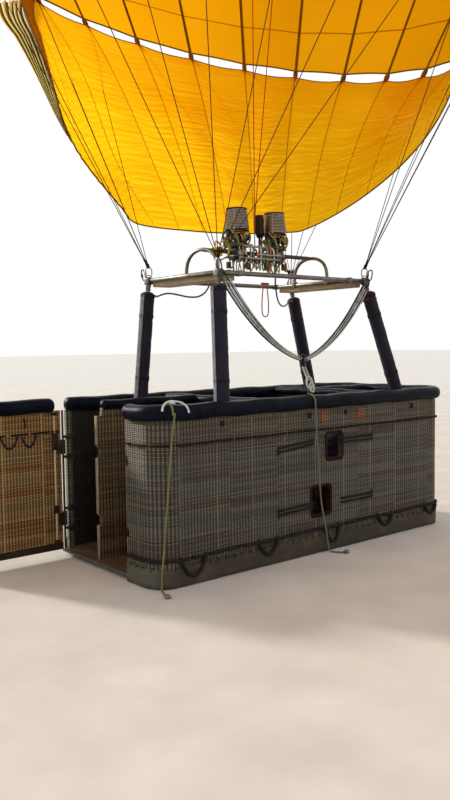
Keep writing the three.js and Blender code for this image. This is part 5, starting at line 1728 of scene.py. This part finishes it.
def make_inner_walls():
    inside = HALF_W - WALL - 0.0003
    low = RIM_TOP - PAD_HEIGHT
    for name, x in (("left", PILOT_LEFT), ("right", PILOT_RIGHT)):
        part = straight_wall((x, -inside), (x, inside), INNER_LOW, tucked(low, True, True), INNER)
        piece(f"woven_cross_{name}", part, SHADED_WICKER_INSIDE, replaces=[f"cross_partition_{name}"])
    left = straight_wall((LEFT_PARTITION_END, PARTITION_Y), (PILOT_LEFT - 0.0153, PARTITION_Y), INNER_LOW,
                         tucked(low - 0.008, True, False), INNER, row=0.024, notch=0.025)
    piece("woven_partition_left", left, WICKER_PARTITION, replaces=["partition_left"])
    right = straight_wall((PILOT_RIGHT + 0.0153, PARTITION_Y), (HALF_L - WALL - 0.0003, PARTITION_Y),
                          INNER_LOW, tucked(low, False, True), INNER)
    piece("woven_partition_right", right, SHADED_WICKER_INSIDE, replaces=["partition_right"])


DOOR_NEAR, DOOR_FAR = HINGE_X - 0.024, HINGE_X - 0.886  # the open door reaches out along -X
DOOR_LOW = 0.056


def make_door_panel():
    """The door stands open, square to its closed place, so its inner face looks to the front."""
    part = straight_wall((DOOR_NEAR, HINGE_Y), (DOOR_FAR, HINGE_Y), DOOR_LOW, lambda d, length: WALL_TOP,
                         WALL, offset=0.3)
    # The door's wicker carries painted sunlight.
    piece("woven_door", part, SUNLIT_WICKER_DOOR, body="basket_door", replaces=["door_panel"])


make_outer_walls()
make_inner_walls()
make_door_panel()
print("woven walls ready")

# %% [markdown]
# ## Rim and pads
# The rim is a roll of foam in navy leather, 118 mm wide, sewn along its foot. The walls inside carry
# slimmer rolls. Each is a rounded section carried along the wall's plan, crowned at its ends, a little
# uneven where the foam is packed, and wrinkled on the inside of a bend.


# %% Leather
def leather(slot, name, dark, light, roughness=0.36):
    """Pebbled grain from the edges of small cells, dull dust on top and shine where hands rub."""
    f = Finish(slot, name, specular=0.05)
    pebble = f.cells(0.004, "DISTANCE_TO_EDGE").smooth(0.0, 0.25)
    dust, rub = f.noise(0.08, 5), f.noise(0.3, 3)
    color = f.ramp(dust * 0.7 + rub * 0.3, (0.3, dark), (0.75, light))
    f.set(color=color, roughness=dust * 0.3 + rub * 0.15 + roughness - 0.17)
    f.bump(pebble * 0.3 + f.noise(0.05, 3) * 2.0, 0.0008)
    return f


RIM_LEATHER = leather("rim_leather", None, (0.001, 0.0015, 0.003), (0.006, 0.01, 0.021), 0.27)
print("leather ready")


# %% Rolls
def roll(distance, place, outward, width, height, middle, seed=0, bend=None):
    """A soft bar: a rounded section, clockwise seen from behind, whose size swells and wrinkles, and
    which closes in the curve of a quarter circle at both ends."""
    angle = -2 * np.pi * np.arange(36) / 36
    c, s = np.cos(angle), np.sin(angle)
    square = (np.abs(c) ** 2.4 + np.abs(s) ** 2.4) ** (-1 / 2.4)
    from_end = np.minimum(distance - distance[0], distance[-1] - distance)
    close = np.sqrt(np.clip(1 - (1 - np.clip(from_end / (height * 0.4), 0, 1)) ** 2, 0.02, 1))[:, None]
    d, a = distance[:, None], angle[None, :]
    size = close * (1 + 0.012 * wobble(d, a * 0.15, 0.35, seed) + 0.006 * wobble(d, a * 0.05, 0.06, seed + 1))
    if bend is not None:
        inner = np.clip(-c, 0, 1)[None] * bend[:, None]
        size = size - 0.03 * inner * (0.5 + 0.5 * np.sin(2 * np.pi * d / 0.032 + a))
    sag = 0.003 * np.sin(2 * np.pi * d / 0.43 + seed) * close
    across = size * width / 2 * square * c
    rise = size * height / 2 * square * s + sag
    flat = place[:, None] + outward[:, None] * across[..., None]
    points = np.concatenate([flat, (middle + rise)[..., None]], axis=-1)
    uv = np.stack(np.broadcast_arrays(np.linspace(0, 1, 37), d), axis=-1)
    return grid(points, wrap_u=True, capped=True, uv=uv)


def bend_at(distance):
    """1 in the middle of a rounded corner and 0 on the straights."""
    middles = [FRONT_START - CORNER_ARC / 2, FRONT_STOP + CORNER_ARC / 2, REAR_START - CORNER_ARC / 2]
    return sum(np.exp(-(((distance - m) / 0.08) ** 2)) for m in middles)


def make_rim():
    distance = run(0, PLAN_LENGTH[-1], 0.012)
    place, outward = station(distance)
    middle = RIM_TOP - PAD_HEIGHT / 2
    part = roll(distance, place, outward, PAD_WIDTH, PAD_HEIGHT - 0.003, middle - 0.001, 3, bend_at(distance))
    piece("rim_roll", part, RIM_LEATHER, replaces=["rim_pad"])
    sewn = run(0.03, PLAN_LENGTH[-1] - 0.03, 0.02)
    seams = [tube(around(sewn, out, RIM_TOP - 0.083), 0.0035, 6) for out in (0.05, -0.05)]
    piece("rim_seams", seams, RIM_LEATHER)


def straight_roll(start, end, width, height, middle, seed):
    start, end = np.asarray(start, float), np.asarray(end, float)
    length = np.linalg.norm(end - start)
    distance = run(0, length, 0.012)
    ahead = (end - start) / length
    outward = np.broadcast_to([ahead[1], -ahead[0]], (len(distance), 2))
    return roll(distance, start + distance[:, None] * ahead, outward, width, height, middle, seed)


def make_inner_pads():
    width, height, middle = 0.084, 0.068, RIM_TOP - 0.004 - 0.035
    reach = HALF_W - WALL - (PAD_WIDTH - WALL) / 2 - 0.0003
    lines = {
        "left": [((PILOT_LEFT, -reach), (PILOT_LEFT, reach)),
                 ((LEFT_PARTITION_END + 0.0433, PARTITION_Y), (PILOT_LEFT, PARTITION_Y))],
        "right": [((PILOT_RIGHT, -reach), (PILOT_RIGHT, reach)),
                  ((PILOT_RIGHT, PARTITION_Y), (HALF_L - WALL - 0.0433, PARTITION_Y))],
    }
    for seed, (name, ends) in enumerate(lines.items()):
        rolls = [straight_roll(a, b, width, height, middle, 20 + seed + n) for n, (a, b) in enumerate(ends)]
        pad = piece(f"partition_roll_{name}", rolls, RIM_LEATHER, replaces=[f"partition_pad_{name}"])
    part = straight_roll((HINGE_X - 0.068, HINGE_Y), (DOOR_FAR, HINGE_Y), PAD_WIDTH, PAD_HEIGHT - 0.003,
                         RIM_TOP - PAD_HEIGHT / 2 - 0.001, 31)
    piece("door_roll", part, RIM_LEATHER, body="basket_door", replaces=["door_pad"])


make_rim()
make_inner_pads()
print("rolls ready")

# %% [markdown]
# ## Hide band, ropes and loops
# Rawhide is laced round the basket's foot, where it is dragged over the ground. Two dark ropes are woven
# in and out of the wall at 0.93 and 0.18 m: 150 mm outside, then a dip. Grab loops for lifting it
# hang from the lower rope, and pairs of straps that hold the gas cylinders show through the wicker.


# %% Hide band
def rawhide():
    f = Finish("hide")
    across, _, height = f.split("Object")
    blotch, fine = f.noise(0.18, 5, twist=0.7), f.noise(0.006, 4)
    # Darker in patches towards the bottom.
    darker_low_patches = (1 - (height - GROUND[2]) * (1 / 0.12)).smooth(0.3, 1.1) * f.noise(0.07, 5)
    stops = (0.3, (0.011, 0.0075, 0.0032)), (0.52, (0.03, 0.02, 0.0075)), (0.75, (0.08, 0.054, 0.02))
    plain = f.ramp(blotch * 0.75 + fine * 0.25, *stops)
    # Painted light: the band's left end is painted lighter, for light on that corner.
    plain = f.mix((-1.32 - across).smooth(0.0, 0.22) * 0.8, plain, (0.085, 0.078, 0.05))
    color = f.mix(darker_low_patches.smooth(0.2, 0.75), plain, (0.012, 0.01, 0.006))
    f.set(color=color, roughness=blotch * 0.25 + 0.55)
    f.bump(blotch * 4 + fine * 0.6 + f.cells(0.01) * 0.5, 0.0012)
    return f


def make_band():
    """A closed strip 9 mm thick round the outside of the walls, rippled like dried hide."""
    distance = run(0, PLAN_LENGTH[-1], 0.02)
    place, outward = station(distance)
    rise = np.linspace(1, 0, 9)
    height = np.concatenate([rise, rise[::-1]])
    height = 0.006 + (0.125 + 0.004 * wobble(distance, 0, 0.2, 5)[:, None]) * height
    side = np.concatenate([np.full(9, WALL / 2 + 0.011), np.full(9, WALL / 2 + 0.002)])
    side[0], side[8] = WALL / 2 + 0.008, WALL / 2 + 0.008
    across = side + 0.002 * wobble(distance[:, None], height * 2, 0.12, 6)
    flat = place[:, None] + outward[:, None] * across[..., None]
    part = grid(np.concatenate([flat, height[..., None]], axis=-1), wrap_u=True, capped=True)
    piece("rawhide_band", part, rawhide(), replaces=["hide_band"])
    beside, out = np.array([0, 0.004, 0.01, 0.014]), WALL / 2 + np.array([0.006, 0.0125, 0.009, 0.001])
    height = np.array([0.113, 0.116, 0.133, 0.137])
    stitches = [tube(around(d + beside, out, height), 0.0028, 5, (0.3, 0.4, 1))
                for d in 0.04 + 0.07 * np.arange(int(PLAN_LENGTH[-1] / 0.07))]
    thong = leather("hide", "lacing_thong", (0.01, 0.006, 0.004), (0.035, 0.022, 0.014))
    piece("band_lacing", stitches, thong)


make_band()


# %% Woven ropes and grab loops
def woven_rope(distance, out, height, radius=0.01, period=0.165, dipping=0.07):
    """A rope beside the wall that dips into the wicker once in each period."""
    phase = (distance / period) % 1 - 0.5
    dip = np.exp(-((phase / dipping) ** 2))
    path = around(distance, out + radius - 0.03 * dip, height + 0.002 * np.sin(distance * 9))
    return rope(path, radius, (0, 0, 1))


def grab_loop(left, right, depth):
    """A loop of rope that hangs from two points: deep and round, like a cosine."""
    share = np.linspace(-1, 1, 40)
    d = left + (right - left) * (share + 1) / 2
    swing = np.cos(share * np.pi / 2) ** 0.65
    out = WALL / 2 + 0.012 + 0.006 * swing - 0.02 * (np.abs(share) > 0.96)
    return rope(around(d, out, 0.195 - depth * swing), 0.0145, (0.1, 0.1, 1))


LOOPS = [(-1.325, -1.123, 0.13), (-0.649, -0.469, 0.11), (0.029, 0.172, 0.13), (0.632, 0.808, 0.095),
         (1.24, 1.4, 0.085)]
HANGER_TIES = [-0.96, -0.135, 0.256, 1.068]


def make_ropes():
    whole = run(0.02, PLAN_LENGTH[-1] - 0.02, 0.007)
    piece("upper_rope", woven_rope(whole, WALL / 2, 0.928), DARK_ROPE)
    piece("lower_rope", woven_rope(whole, WALL / 2, 0.183, 0.0135, 0.148, 0.1), DARK_ROPE)
    loops = [grab_loop(front(a), front(b), depth) for a, b, depth in LOOPS]
    loops += [grab_loop(rear(b), rear(a), depth) for a, b, depth in LOOPS[:-1]]
    loops += [grab_loop(FRONT_STOP + CORNER_ARC + 0.38, FRONT_STOP + CORNER_ARC + 0.56, 0.12)]
    piece("grab_loops", loops, DARK_ROPE)
    beside = np.array([-0.012, -0.01, 0, 0.01, 0.012])
    out = WALL / 2 + np.array([-0.01, 0.009, 0.012, 0.009, -0.01])
    lines = [around(along_wall(x) + beside, out, 1.04 + slope * np.arange(-2, 3))
             for x in HANGER_TIES for along_wall in (front, rear) for slope in (0.01, -0.01)]
    piece("hanger_ties", [rope(smooth_line(line, 16), 0.006, (0, 0, 1)) for line in lines], DARK_ROPE)


def make_cane_patches():
    """Two mends in newer cane, which is still orange, under the rim of the front wall."""
    mends = []
    for left, right, low, top in ((-0.012, 0.078, 0.965, 1.075), (0.395, 0.49, 0.95, 1.068)):
        d, z = np.meshgrid(front(np.linspace(left, right, 13)), np.linspace(low, top, 10), indexing="ij")
        out = WALL / 2 + 0.004 - 0.006 * ((np.abs(z - z.mean()) / (top - low) * 2) ** 8)
        points = around(d.ravel(), out.ravel(), z.ravel()).reshape(*d.shape, 3)
        mends.append(grid(points, uv=np.stack([d, z], axis=-1)))
    piece("cane_patches", mends, wicker("wicker_new", (2.2, 1.0, 0.45), between_rib_shade=0.5))


make_ropes()
make_cane_patches()
print("ropes on the wall ready")


# %% Straps, foot holes and the bow
def make_cylinder_straps():
    """Each cylinder's straps pass out through the wicker, run along the wall and go in again."""
    bars = []
    for left, right in ((-0.465, -0.08), (0.2, 0.573)):
        for height, slope in ((0.825, 0.022), (0.365, 0.01)):
            lean = slope if left < 0 else 0.0
            middles = np.linspace(left + 0.03, right - 0.03, 8)
            xs = np.array([left, left + 0.012, *middles, right - 0.012, right])
            out = WALL / 2 + np.array([-0.012, 0.004, *np.full(8, 0.0065), 0.004, -0.012])
            for offset in (-0.015, 0.015):
                z = height + offset + lean * np.linspace(-1, 1, len(xs))
                bars.append(strap(around(front(xs), out, z), (0, 0, 1), 0.019, 0.004))
            x, drop = (left + 0.012, -lean) if left < 0 else (right - 0.012, 0.012)
            z = height + drop + np.linspace(-0.034, 0.034, 6)
            bars.append(strap(around(front(np.full(6, x)), WALL / 2 + 0.008, z), (1, 0, 0), 0.016, 0.004))
    piece("cylinder_straps", bars, BLACK_WEB)


def hole_trim(low_x, low_z, high_x, high_z, y):
    """A leather binding: a rectangular ring with round corners, wider than the wall is thick."""
    radius, lip = 0.03, 0.009
    a = np.radians(np.arange(0, 360, 11.25))
    c, s = np.cos(a), np.sin(a)
    corner = np.column_stack([np.where(c >= 0, high_x - radius, low_x + radius),
                              np.where(s >= 0, high_z - radius, low_z + radius)])
    across = np.array([(-0.012, -0.021), (-0.004, -0.0245), (lip, -0.0215), (lip, 0.0215), (-0.004, 0.0245),
                       (-0.012, 0.021)])
    flat = corner[:, None] + (radius + across[None, :, :1]) * np.column_stack([c, s])[:, None]
    depth = np.broadcast_to(across[None, :, 1:], flat.shape[:2] + (1,)) + y
    points = np.concatenate([flat[..., :1], depth, flat[..., 1:]], axis=-1)
    return grid(points, wrap_u=True, wrap_v=True)


def make_hole_trims():
    trims = [hole_trim(*hole, side * (HALF_W - WALL / 2)) for hole in FOOT_HOLES for side in (-1, 1)]
    dark = leather("hide", "hole_leather", (0.01, 0.004, 0.003), (0.032, 0.012, 0.008), 0.5)
    piece("foot_hole_trims", trims, dark)


def over_rim(xs, angles, lift=0.008):
    """Points on the rim roll: angle 0 is its outermost line and a quarter turn its top."""
    across, rise = (PAD_WIDTH / 2 + lift) * np.cos(angles), (PAD_HEIGHT / 2 + 0.001 + lift) * np.sin(angles)
    return around(front(xs), across, RIM_TOP - PAD_HEIGHT / 2 + rise)


def make_bow():
    """The left rope is thrown over the rim and made fast with a white line, whose two tails arch down
    either side of the knot; the right rope only passes over the rim."""
    turn = rope(over_rim(np.full(40, -1.379), np.linspace(-0.2, np.pi * 1.25, 40)), 0.0068)
    over = rope(over_rim(np.full(30, -0.119), np.linspace(-0.1, np.pi * 0.55, 30)), 0.0068)
    share = np.linspace(0, 1, 40)
    bow = []
    for reach, low in ((-0.06, 0.25), (0.085, 0.0)):
        xs = -1.365 + reach * np.sin(share * np.pi / 2) ** 0.9
        bow.append(rope(over_rim(xs, 1.5 + (low - 1.5) * share**1.5, 0.0174445), 0.0075, (0, 0.2, 1)))
    bow.append(overhand_knot(over_rim(np.array([-1.368]), np.array([1.3]), 0.016)[0], 0.012, 0.0075))
    piece("rope_bow", bow, WHITE_ROPE)
    piece("rope_over_rim", [turn, over], KHAKI)


make_cylinder_straps()
make_hole_trims()
make_bow()
print("straps, holes and bow ready")


# %% Door details
PIN_X = -1.563
HINGE_HEIGHTS = (0.28, 0.82)
DOOR_FACE = HINGE_Y - WALL / 2


def pale_wood():
    f = Finish("plywood", "pin_wood", roughness=0.45)
    grain = f.noise(0.006, 4, scale=(1, 1, 0.06), twist=0.5)
    f.set(color=f.ramp(grain, (0.3, (0.42, 0.27, 0.14)), (0.75, (0.75, 0.6, 0.42))))
    f.bump(grain, 0.0004)
    return f


def make_door_ropes():
    """The rope that is woven through the door on both faces, and three loops of it in front."""
    face = DOOR_FACE
    d = run(0.02, 0.84, 0.008)
    lines = []
    dip = np.exp(-((((d / 0.165) % 1 - 0.5) / 0.07) ** 2))
    pressed = np.exp(-(((HINGE_X - DOOR_NEAR + d - (HINGE_Y - PARTITION_Y)) / 0.05) ** 4))
    for y, sign, squeeze in ((face, -1, 0.011 * pressed), (face + WALL, 1, 0)):
        path = np.column_stack([DOOR_NEAR - d, y + sign * (0.007 - 0.022 * dip - squeeze),
                                0.94 + 0.002 * np.sin(d * 9)])
        lines.append(rope(path, 0.0078, (0, 0, 1)))
    share = np.linspace(-1, 1, 36)
    swing = np.cos(share * np.pi / 2) ** 0.6
    for left, right in ((-1.98, -1.85), (-1.82, -1.71), (-2.26, -2.12)):
        x = left + (right - left) * (share + 1) / 2
        path = np.column_stack([x, face - 0.007 * swing, 0.945 - 0.1 * swing])
        lines.append(rope(path, 0.0075, (0.1, 0, 1)))
    piece("door_ropes", lines, DARK_ROPE, body="basket_door")


def make_door_details():
    """The door's bound edges, its hinge knuckles, and the wooden pin in its loops."""
    face = DOOR_FACE
    near, far, end = face - 0.004, face + WALL + 0.004, DOOR_FAR - 0.002
    edges = [rounded_block((end, near, DOOR_LOW - 0.004), (DOOR_NEAR, far, DOOR_LOW + 0.05), 0.004),
             rounded_block((end, near, DOOR_LOW), (DOOR_FAR + 0.03, far, WALL_TOP - 0.01), 0.004)]
    dark = leather("hide", "edge_leather", (0.012, 0.008, 0.006), (0.045, 0.03, 0.02), 0.5)
    piece("door_edging", edges, dark, body="basket_door")
    barrel = [(0.0095, -0.055), (0.0165, -0.054), (0.0165, 0.054), (0.0095, 0.055)]
    knuckles = []
    for z in HINGE_HEIGHTS:
        knuckles.append(lathe(barrel, (HINGE_X, HINGE_Y, z), sides=24, closed=True))
        knuckles.append(block_at(HINGE_X - 0.036, face - 0.00175, z, 0.024, 0.00225, 0.045, 0.0015))
        knuckles += [screw((HINGE_X - dx, face - 0.004, z + dz), (0, -1, 0), 0.005)
                     for dx in (0.034, 0.05) for dz in (-0.025, 0.025)]
    piece("door_knuckles", knuckles, DARK_STEEL, body="basket_door")
    pin = [bar((PIN_X, face - 0.007, low), (PIN_X, face - 0.007, high), 0.0062)
           for low, high in ((0.125, 0.335), (0.385, 0.81), (0.925, 1.068))]
    piece("door_pin", pin, pale_wood(), body="basket_door")
    holders = [rounded_block((PIN_X - 0.022, face - 0.016, low), (PIN_X + 0.022, face + 0.001, high), 0.006)
               for low, high in ((0.33, 0.39), (0.805, 0.93), (1.062, 1.08), (0.112, 0.13))]
    piece("door_pin_loops", holders, dark, body="basket_door")
    tie = [(-1.8, face - 0.002, 1.06), (-1.8, face - 0.012, 1.045), (-1.795, face - 0.012, 1.0),
           (-1.8, face - 0.004, 0.985)]
    piece("door_tie", rope(smooth_line(tie, 20), 0.007), DARK_ROPE, body="basket_door")


def make_hinge_rod():
    """The rod, and above and below each hinge an arm to the rear wall's end with its screwed plate."""
    parts = [bar((HINGE_X, HINGE_Y, 0.052), (HINGE_X, HINGE_Y, WALL_TOP), 0.0088, 20)]
    face = DOOR_FACE
    for hinge in HINGE_HEIGHTS:
        for z in (hinge - 0.075, hinge + 0.075):
            low, high = (HINGE_X, HINGE_Y - 0.005, z - 0.01), (REAR_END + 0.01, HINGE_Y + 0.005, z + 0.01)
            parts.append(rounded_block(low, high, 0.002))
            parts.append(block_at(REAR_END + 0.033, face - 0.001, z, 0.037, 0.002, 0.022, 0.0015))
            parts.append(screw((REAR_END + 0.05, face - 0.003, z), (0, -1, 0), 0.005))
    piece("hinge_rod", parts, DARK_STEEL, replaces=["door_hinge_rod"])


def make_doorway_edges():
    """Leather binds the free edges of the doorway; straps will be buckled through their notches."""
    x, start, side = -HALF_L + WALL / 2, LEFT_PARTITION_END, PARTITION_Y
    edges = []
    for low, high in ((WALL_LOW, 0.295), (0.377, 0.775), (0.87, WALL_TOP - 0.02)):
        middle, half = (low + high) / 2, (high - low) / 2
        edges.append(block_at(x, STUB_END - 0.003, middle, 0.0172, 0.004, half, 0.003))
        edges.append(block_at(start + 0.0015, side, middle, 0.0045, 0.0162, half, 0.003))
    tan = leather("hide", "doorway_leather", (0.13, 0.1, 0.06), (0.34, 0.28, 0.19), 0.55)
    piece("doorway_binding", edges, tan)
    loops = []
    for z in (0.336, 0.816):
        loops.append(rounded_loop((x, STUB_END - 0.03, z), (0, 0, 1), (0, 1, 0), 0.075, 0.03, 0.0035))
        loops.append(rounded_loop((start + 0.028, side, z), (0, 0, 1), (1, 0, 0), 0.075, 0.03, 0.0035))
    piece("doorway_rings", loops, DARK_STEEL)


make_door_ropes()
make_door_details()
make_hinge_rod()
make_doorway_edges()
print("door ready")

# %% [markdown]
# ## Floor and gas cylinders
# The floor is thick plywood on runners; its own solid is right and only gets the finish of worn boards,
# which are kept dark as painted shade inside the basket.
# Four propane cylinders stand in quilted jackets along the pilot's part, with a collar and valve on top.

# %% Floor and cylinders
def make_floor_finish():
    # Worn boards, dark brown: the wear is the boards' own, the darkness painted shade inside the basket.
    boards = plywood("plywood", (0.035, 0.02, 0.011), (0.12, 0.08, 0.045))
    obj = bpy.data.objects["basket_floor"]
    obj.data.materials.clear()
    obj.data.materials.append(boards.material)


CYLINDER_RADIUS = 0.178


def make_cylinder(name, x, y):
    """A jacket that bulges between quilting seams, its strap, and the bare collar, valve and gauge."""
    radius, height, base = CYLINDER_RADIUS, 0.98, 0.0483
    profile = [(0.06, 0), (radius - 0.012, 0), (radius - 0.003, 0.012), (radius, 0.03)]
    rise = np.linspace(0.04, height - 0.21, 60)
    quilt = 0.004 * np.abs(np.sin(np.pi * (rise - 0.04) / 0.11))
    profile += [(radius - 0.004 + q, z) for q, z in zip(quilt, rise)]
    profile += [(radius - 0.008, height - 0.19), (radius - 0.028, height - 0.168), (0.12, height - 0.155),
                (0.075, height - 0.15), (0.06, height - 0.15)]
    jacket = lathe(profile, (x, y, base), sides=48)
    piece(f"jacket_{name}", jacket, NAVY, replaces=[f"gas_cylinder_{name}"])
    top = base + height
    collar = [(0.066, -0.152), (0.07, -0.15), (0.066, -0.095), (0.1, -0.092), (0.104, -0.088),
              (0.104, -0.022), (0.1, -0.018), (0.097, -0.022), (0.097, -0.085), (0.06, -0.088)]
    wheel = [(0.004, -0.006), (0.024, -0.005), (0.026, 0), (0.024, 0.005), (0.004, 0.006)]
    valve = [bar((x, y, top - 0.14), (x, y, top - 0.03), 0.014),
             bar((x, y, top - 0.05), (x + 0.05, y, top - 0.05), 0.01, 10),
             lathe(wheel, (x, y, top - 0.024), sides=16), gauge((x - 0.045, y, top - 0.06), (0, 0, 1))]
    straps = [strap(ring((x, y, base + z), radius + 0.003, 48), (0, 0, 1), 0.04, 0.004, closed=True)
              for z in (0.3, 0.72)]
    return lathe(collar, (x, y, top), sides=32, closed=True), joined(*valve), joined(*straps)


def make_cylinders():
    offset = HALF_W - WALL - CYLINDER_RADIUS - 0.002
    made = [make_cylinder(f"{side}_{name}", x, sign * offset)
            for side, sign in (("front", -1), ("rear", 1))
            for name, x in (("left", -0.272), ("right", 0.388))]
    collars, valves, straps = (list(parts) for parts in zip(*made))
    piece("cylinder_collars", collars, STEEL)
    piece("cylinder_valves", valves, BRASS)
    piece("jacket_straps", straps, BLACK_WEB)


make_floor_finish()
make_cylinders()
print("cylinders ready")

# %% [markdown]
# ## Crown and parachute valve
# At the top the load tapes run on over a round vent to the crown ring. A parachute of cloth closes the
# vent from inside, and a red line pulls it down to let hot air out. Short lines centre it.


# %% Crown
def crown_height(radius):
    """Height of the crown at a distance from the axis, read off the meridian."""
    upper = MERIDIAN[MERIDIAN[:, 1] > 20][::-1]
    return np.interp(radius, upper[:, 0], upper[:, 1])


def make_crown():
    radius = np.linspace(0.15, 2.4, 30)
    tapes = [strap(polar(radius, tape_angle(k), crown_height(radius) + 0.0045), eastward(k), 0.05, 0.006)
             for k in range(GORES)]
    piece("crown_straps", tapes, TAPE, replaces=["crown_tapes"], flat=True)
    hoop = ring((0, 0, crown_height(0.0) + 0.006), 0.16, 64)
    piece("crown_ring", tube(hoop, 0.0138, 16, closed=True), STEEL)


VALVE_RADIUS, VALVE_HOLE, VALVE_UNDER = 2.62, 0.06, 0.0203
GATHER = np.array([0, 0, crown_height(0.0) - 2.6])  # where the red line divides, under the valve


def make_valve():
    """The valve's cloth follows the crown just below it and dips a little between its 24 seams."""
    radius = np.linspace(VALVE_RADIUS, VALVE_HOLE, 60)[:, None]
    angle = 2 * np.pi * np.arange(192) / 192
    dip = np.abs(np.sin(12 * angle)) * (0.006 * np.clip(radius, 0, 1) + 0.003 * np.sin(radius * 40))
    points = polar(radius, angle, crown_height(radius) - VALVE_UNDER - dip)
    uv = np.stack(np.meshgrid(np.arange(193) * GORES / 192, np.linspace(0.3, 2.86, 60)), axis=-1)
    part = grid(points, wrap_u=True, uv=uv)
    hems = [tube(points[0], 0.006, 8, closed=True), tube(points[-1, ::4], 0.008, 8, closed=True)]
    trim = piece("valve_hem", hems, TAPE, body="vent_panel")
    cloth = piece("valve_cloth", part, CLOTH, body="vent_panel", replaces=["parachute_valve"])
    area_of(part)


def make_valve_lines():
    """Centring lines from the valve's edge down to the tapes, and the V of lines from the point where the
    red line divides up to the valve; they are baked in place and belong to no body."""
    lines = []
    radius, height = envelope_profile(UPPER_LENGTH[-1] - 2.4)
    for k in range(GORES):
        foot = polar(radius - 0.01, tape_angle(k), height)
        head = polar(2.5, tape_angle(k), crown_height(2.5) - 0.03)
        lines.append(tube([foot, head], 0.0025, 6, eastward(k)))
    for k in range(0, GORES, 3):
        head = polar(1.6, tape_angle(k), crown_height(1.6) - 0.03)
        lines.append(tube([GATHER, head], 0.0025, 6, eastward(k)))
    top = piece("valve_lines", lines, RED_LINE, body=None)
    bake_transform(top)


RED_LOW = np.array([-0.06, 0.03, 2.3])
HANDLE = np.array([0.0, -0.02, 0])


def make_red_lines():
    """Two control lines come down through the mouth and meet at a small pulley beside the burner."""
    pulley = RED_LOW + [0, 0, 0.24]
    lines = [tube([pulley, start], 0.0035, 8, (0, 1, 0)) for start in (GATHER, (0.9, -0.2, 12.0))]
    lines.append(tube([RED_LOW, pulley], 0.004, 8, (0, 1, 0)))
    piece("control_lines", lines, RED_LINE)
    half = [(-0.012, 2.04), (-0.03, 1.95), (-0.034, 1.83), (-0.02, 1.79)]
    outline = [(0, 2.05), *half, *[(-x, z) for x, z in half[::-1]], (0, 2.05)]
    loop = smooth_line(HANDLE + [(x, 0, z) for x, z in outline], 60)[:-1]
    grip = bar(HANDLE + [-0.04, 0, 2.045], HANDLE + [0.04, 0, 2.045], 0.008, 10)
    piece("red_handle", [tube(loop, 0.0045, 8, (0, 1, 0), closed=True), grip], RED_LINE)


make_crown()
make_valve()
make_valve_lines()
make_red_lines()
print("crown and valve ready")

# %% [markdown]
# ## Light and floor
# A plain pale floor lies under the basket, and even pale light comes from all round. A low sun stands
# behind on the left, so that the cloth glows and the edges towards it are bright. The floor is only a
# stage and not part of the object. Colours are developed plainly, without a film curve, so that the
# yellow stays pure.


# %% Stage
def make_stage():
    floor = Finish("plywood", "pale_floor", roughness=0.9)
    floor.set(color=floor.ramp(floor.noise(0.5, 5), (0.3, (0.5, 0.49, 0.46)), (0.7, (0.6, 0.59, 0.56))))
    half = 150.0
    x, y = np.meshgrid([-half, half], [-half, half])
    points = np.stack([x, y, np.full_like(x, GROUND[2] - 0.001)], axis=-1).reshape(-1, 3)
    mesh = bpy.data.meshes.new("floor")
    mesh.from_pydata(points.tolist(), [], [(0, 1, 3, 2)])
    mesh.materials.append(floor.material)
    obj = bpy.data.objects.new("floor", mesh)
    bpy.context.scene.collection.objects.link(obj)
    world = bpy.data.worlds.new("pale_sky")
    bpy.context.scene.world = world
    world.use_nodes = True
    sky = world.node_tree.nodes["Background"]
    sky.inputs["Color"].default_value = (1.0, 1.0, 1.0, 1)
    sky.inputs["Strength"].default_value = 1.0
    bpy.context.scene.view_settings.view_transform = "Standard"


def make_sun(name, towards, strength, softness, color):
    data = bpy.data.lights.new(name, "SUN")
    data.energy = strength
    data.angle = np.radians(softness)
    data.color = color
    sun = bpy.data.objects.new(name, data)
    bpy.context.scene.collection.objects.link(sun)
    z = unit(towards)
    x = unit(np.cross((0, 0, 1), z))
    matrix = np.eye(4)
    matrix[:3, :3] = np.stack([x, np.cross(z, x), z], axis=1)
    sun.matrix_world = Matrix(matrix.tolist())


make_stage()
make_sun("low_sun", (-0.34, 0.9, 0.42), 3.6, 6, (1.0, 0.93, 0.82))
print("stage ready")
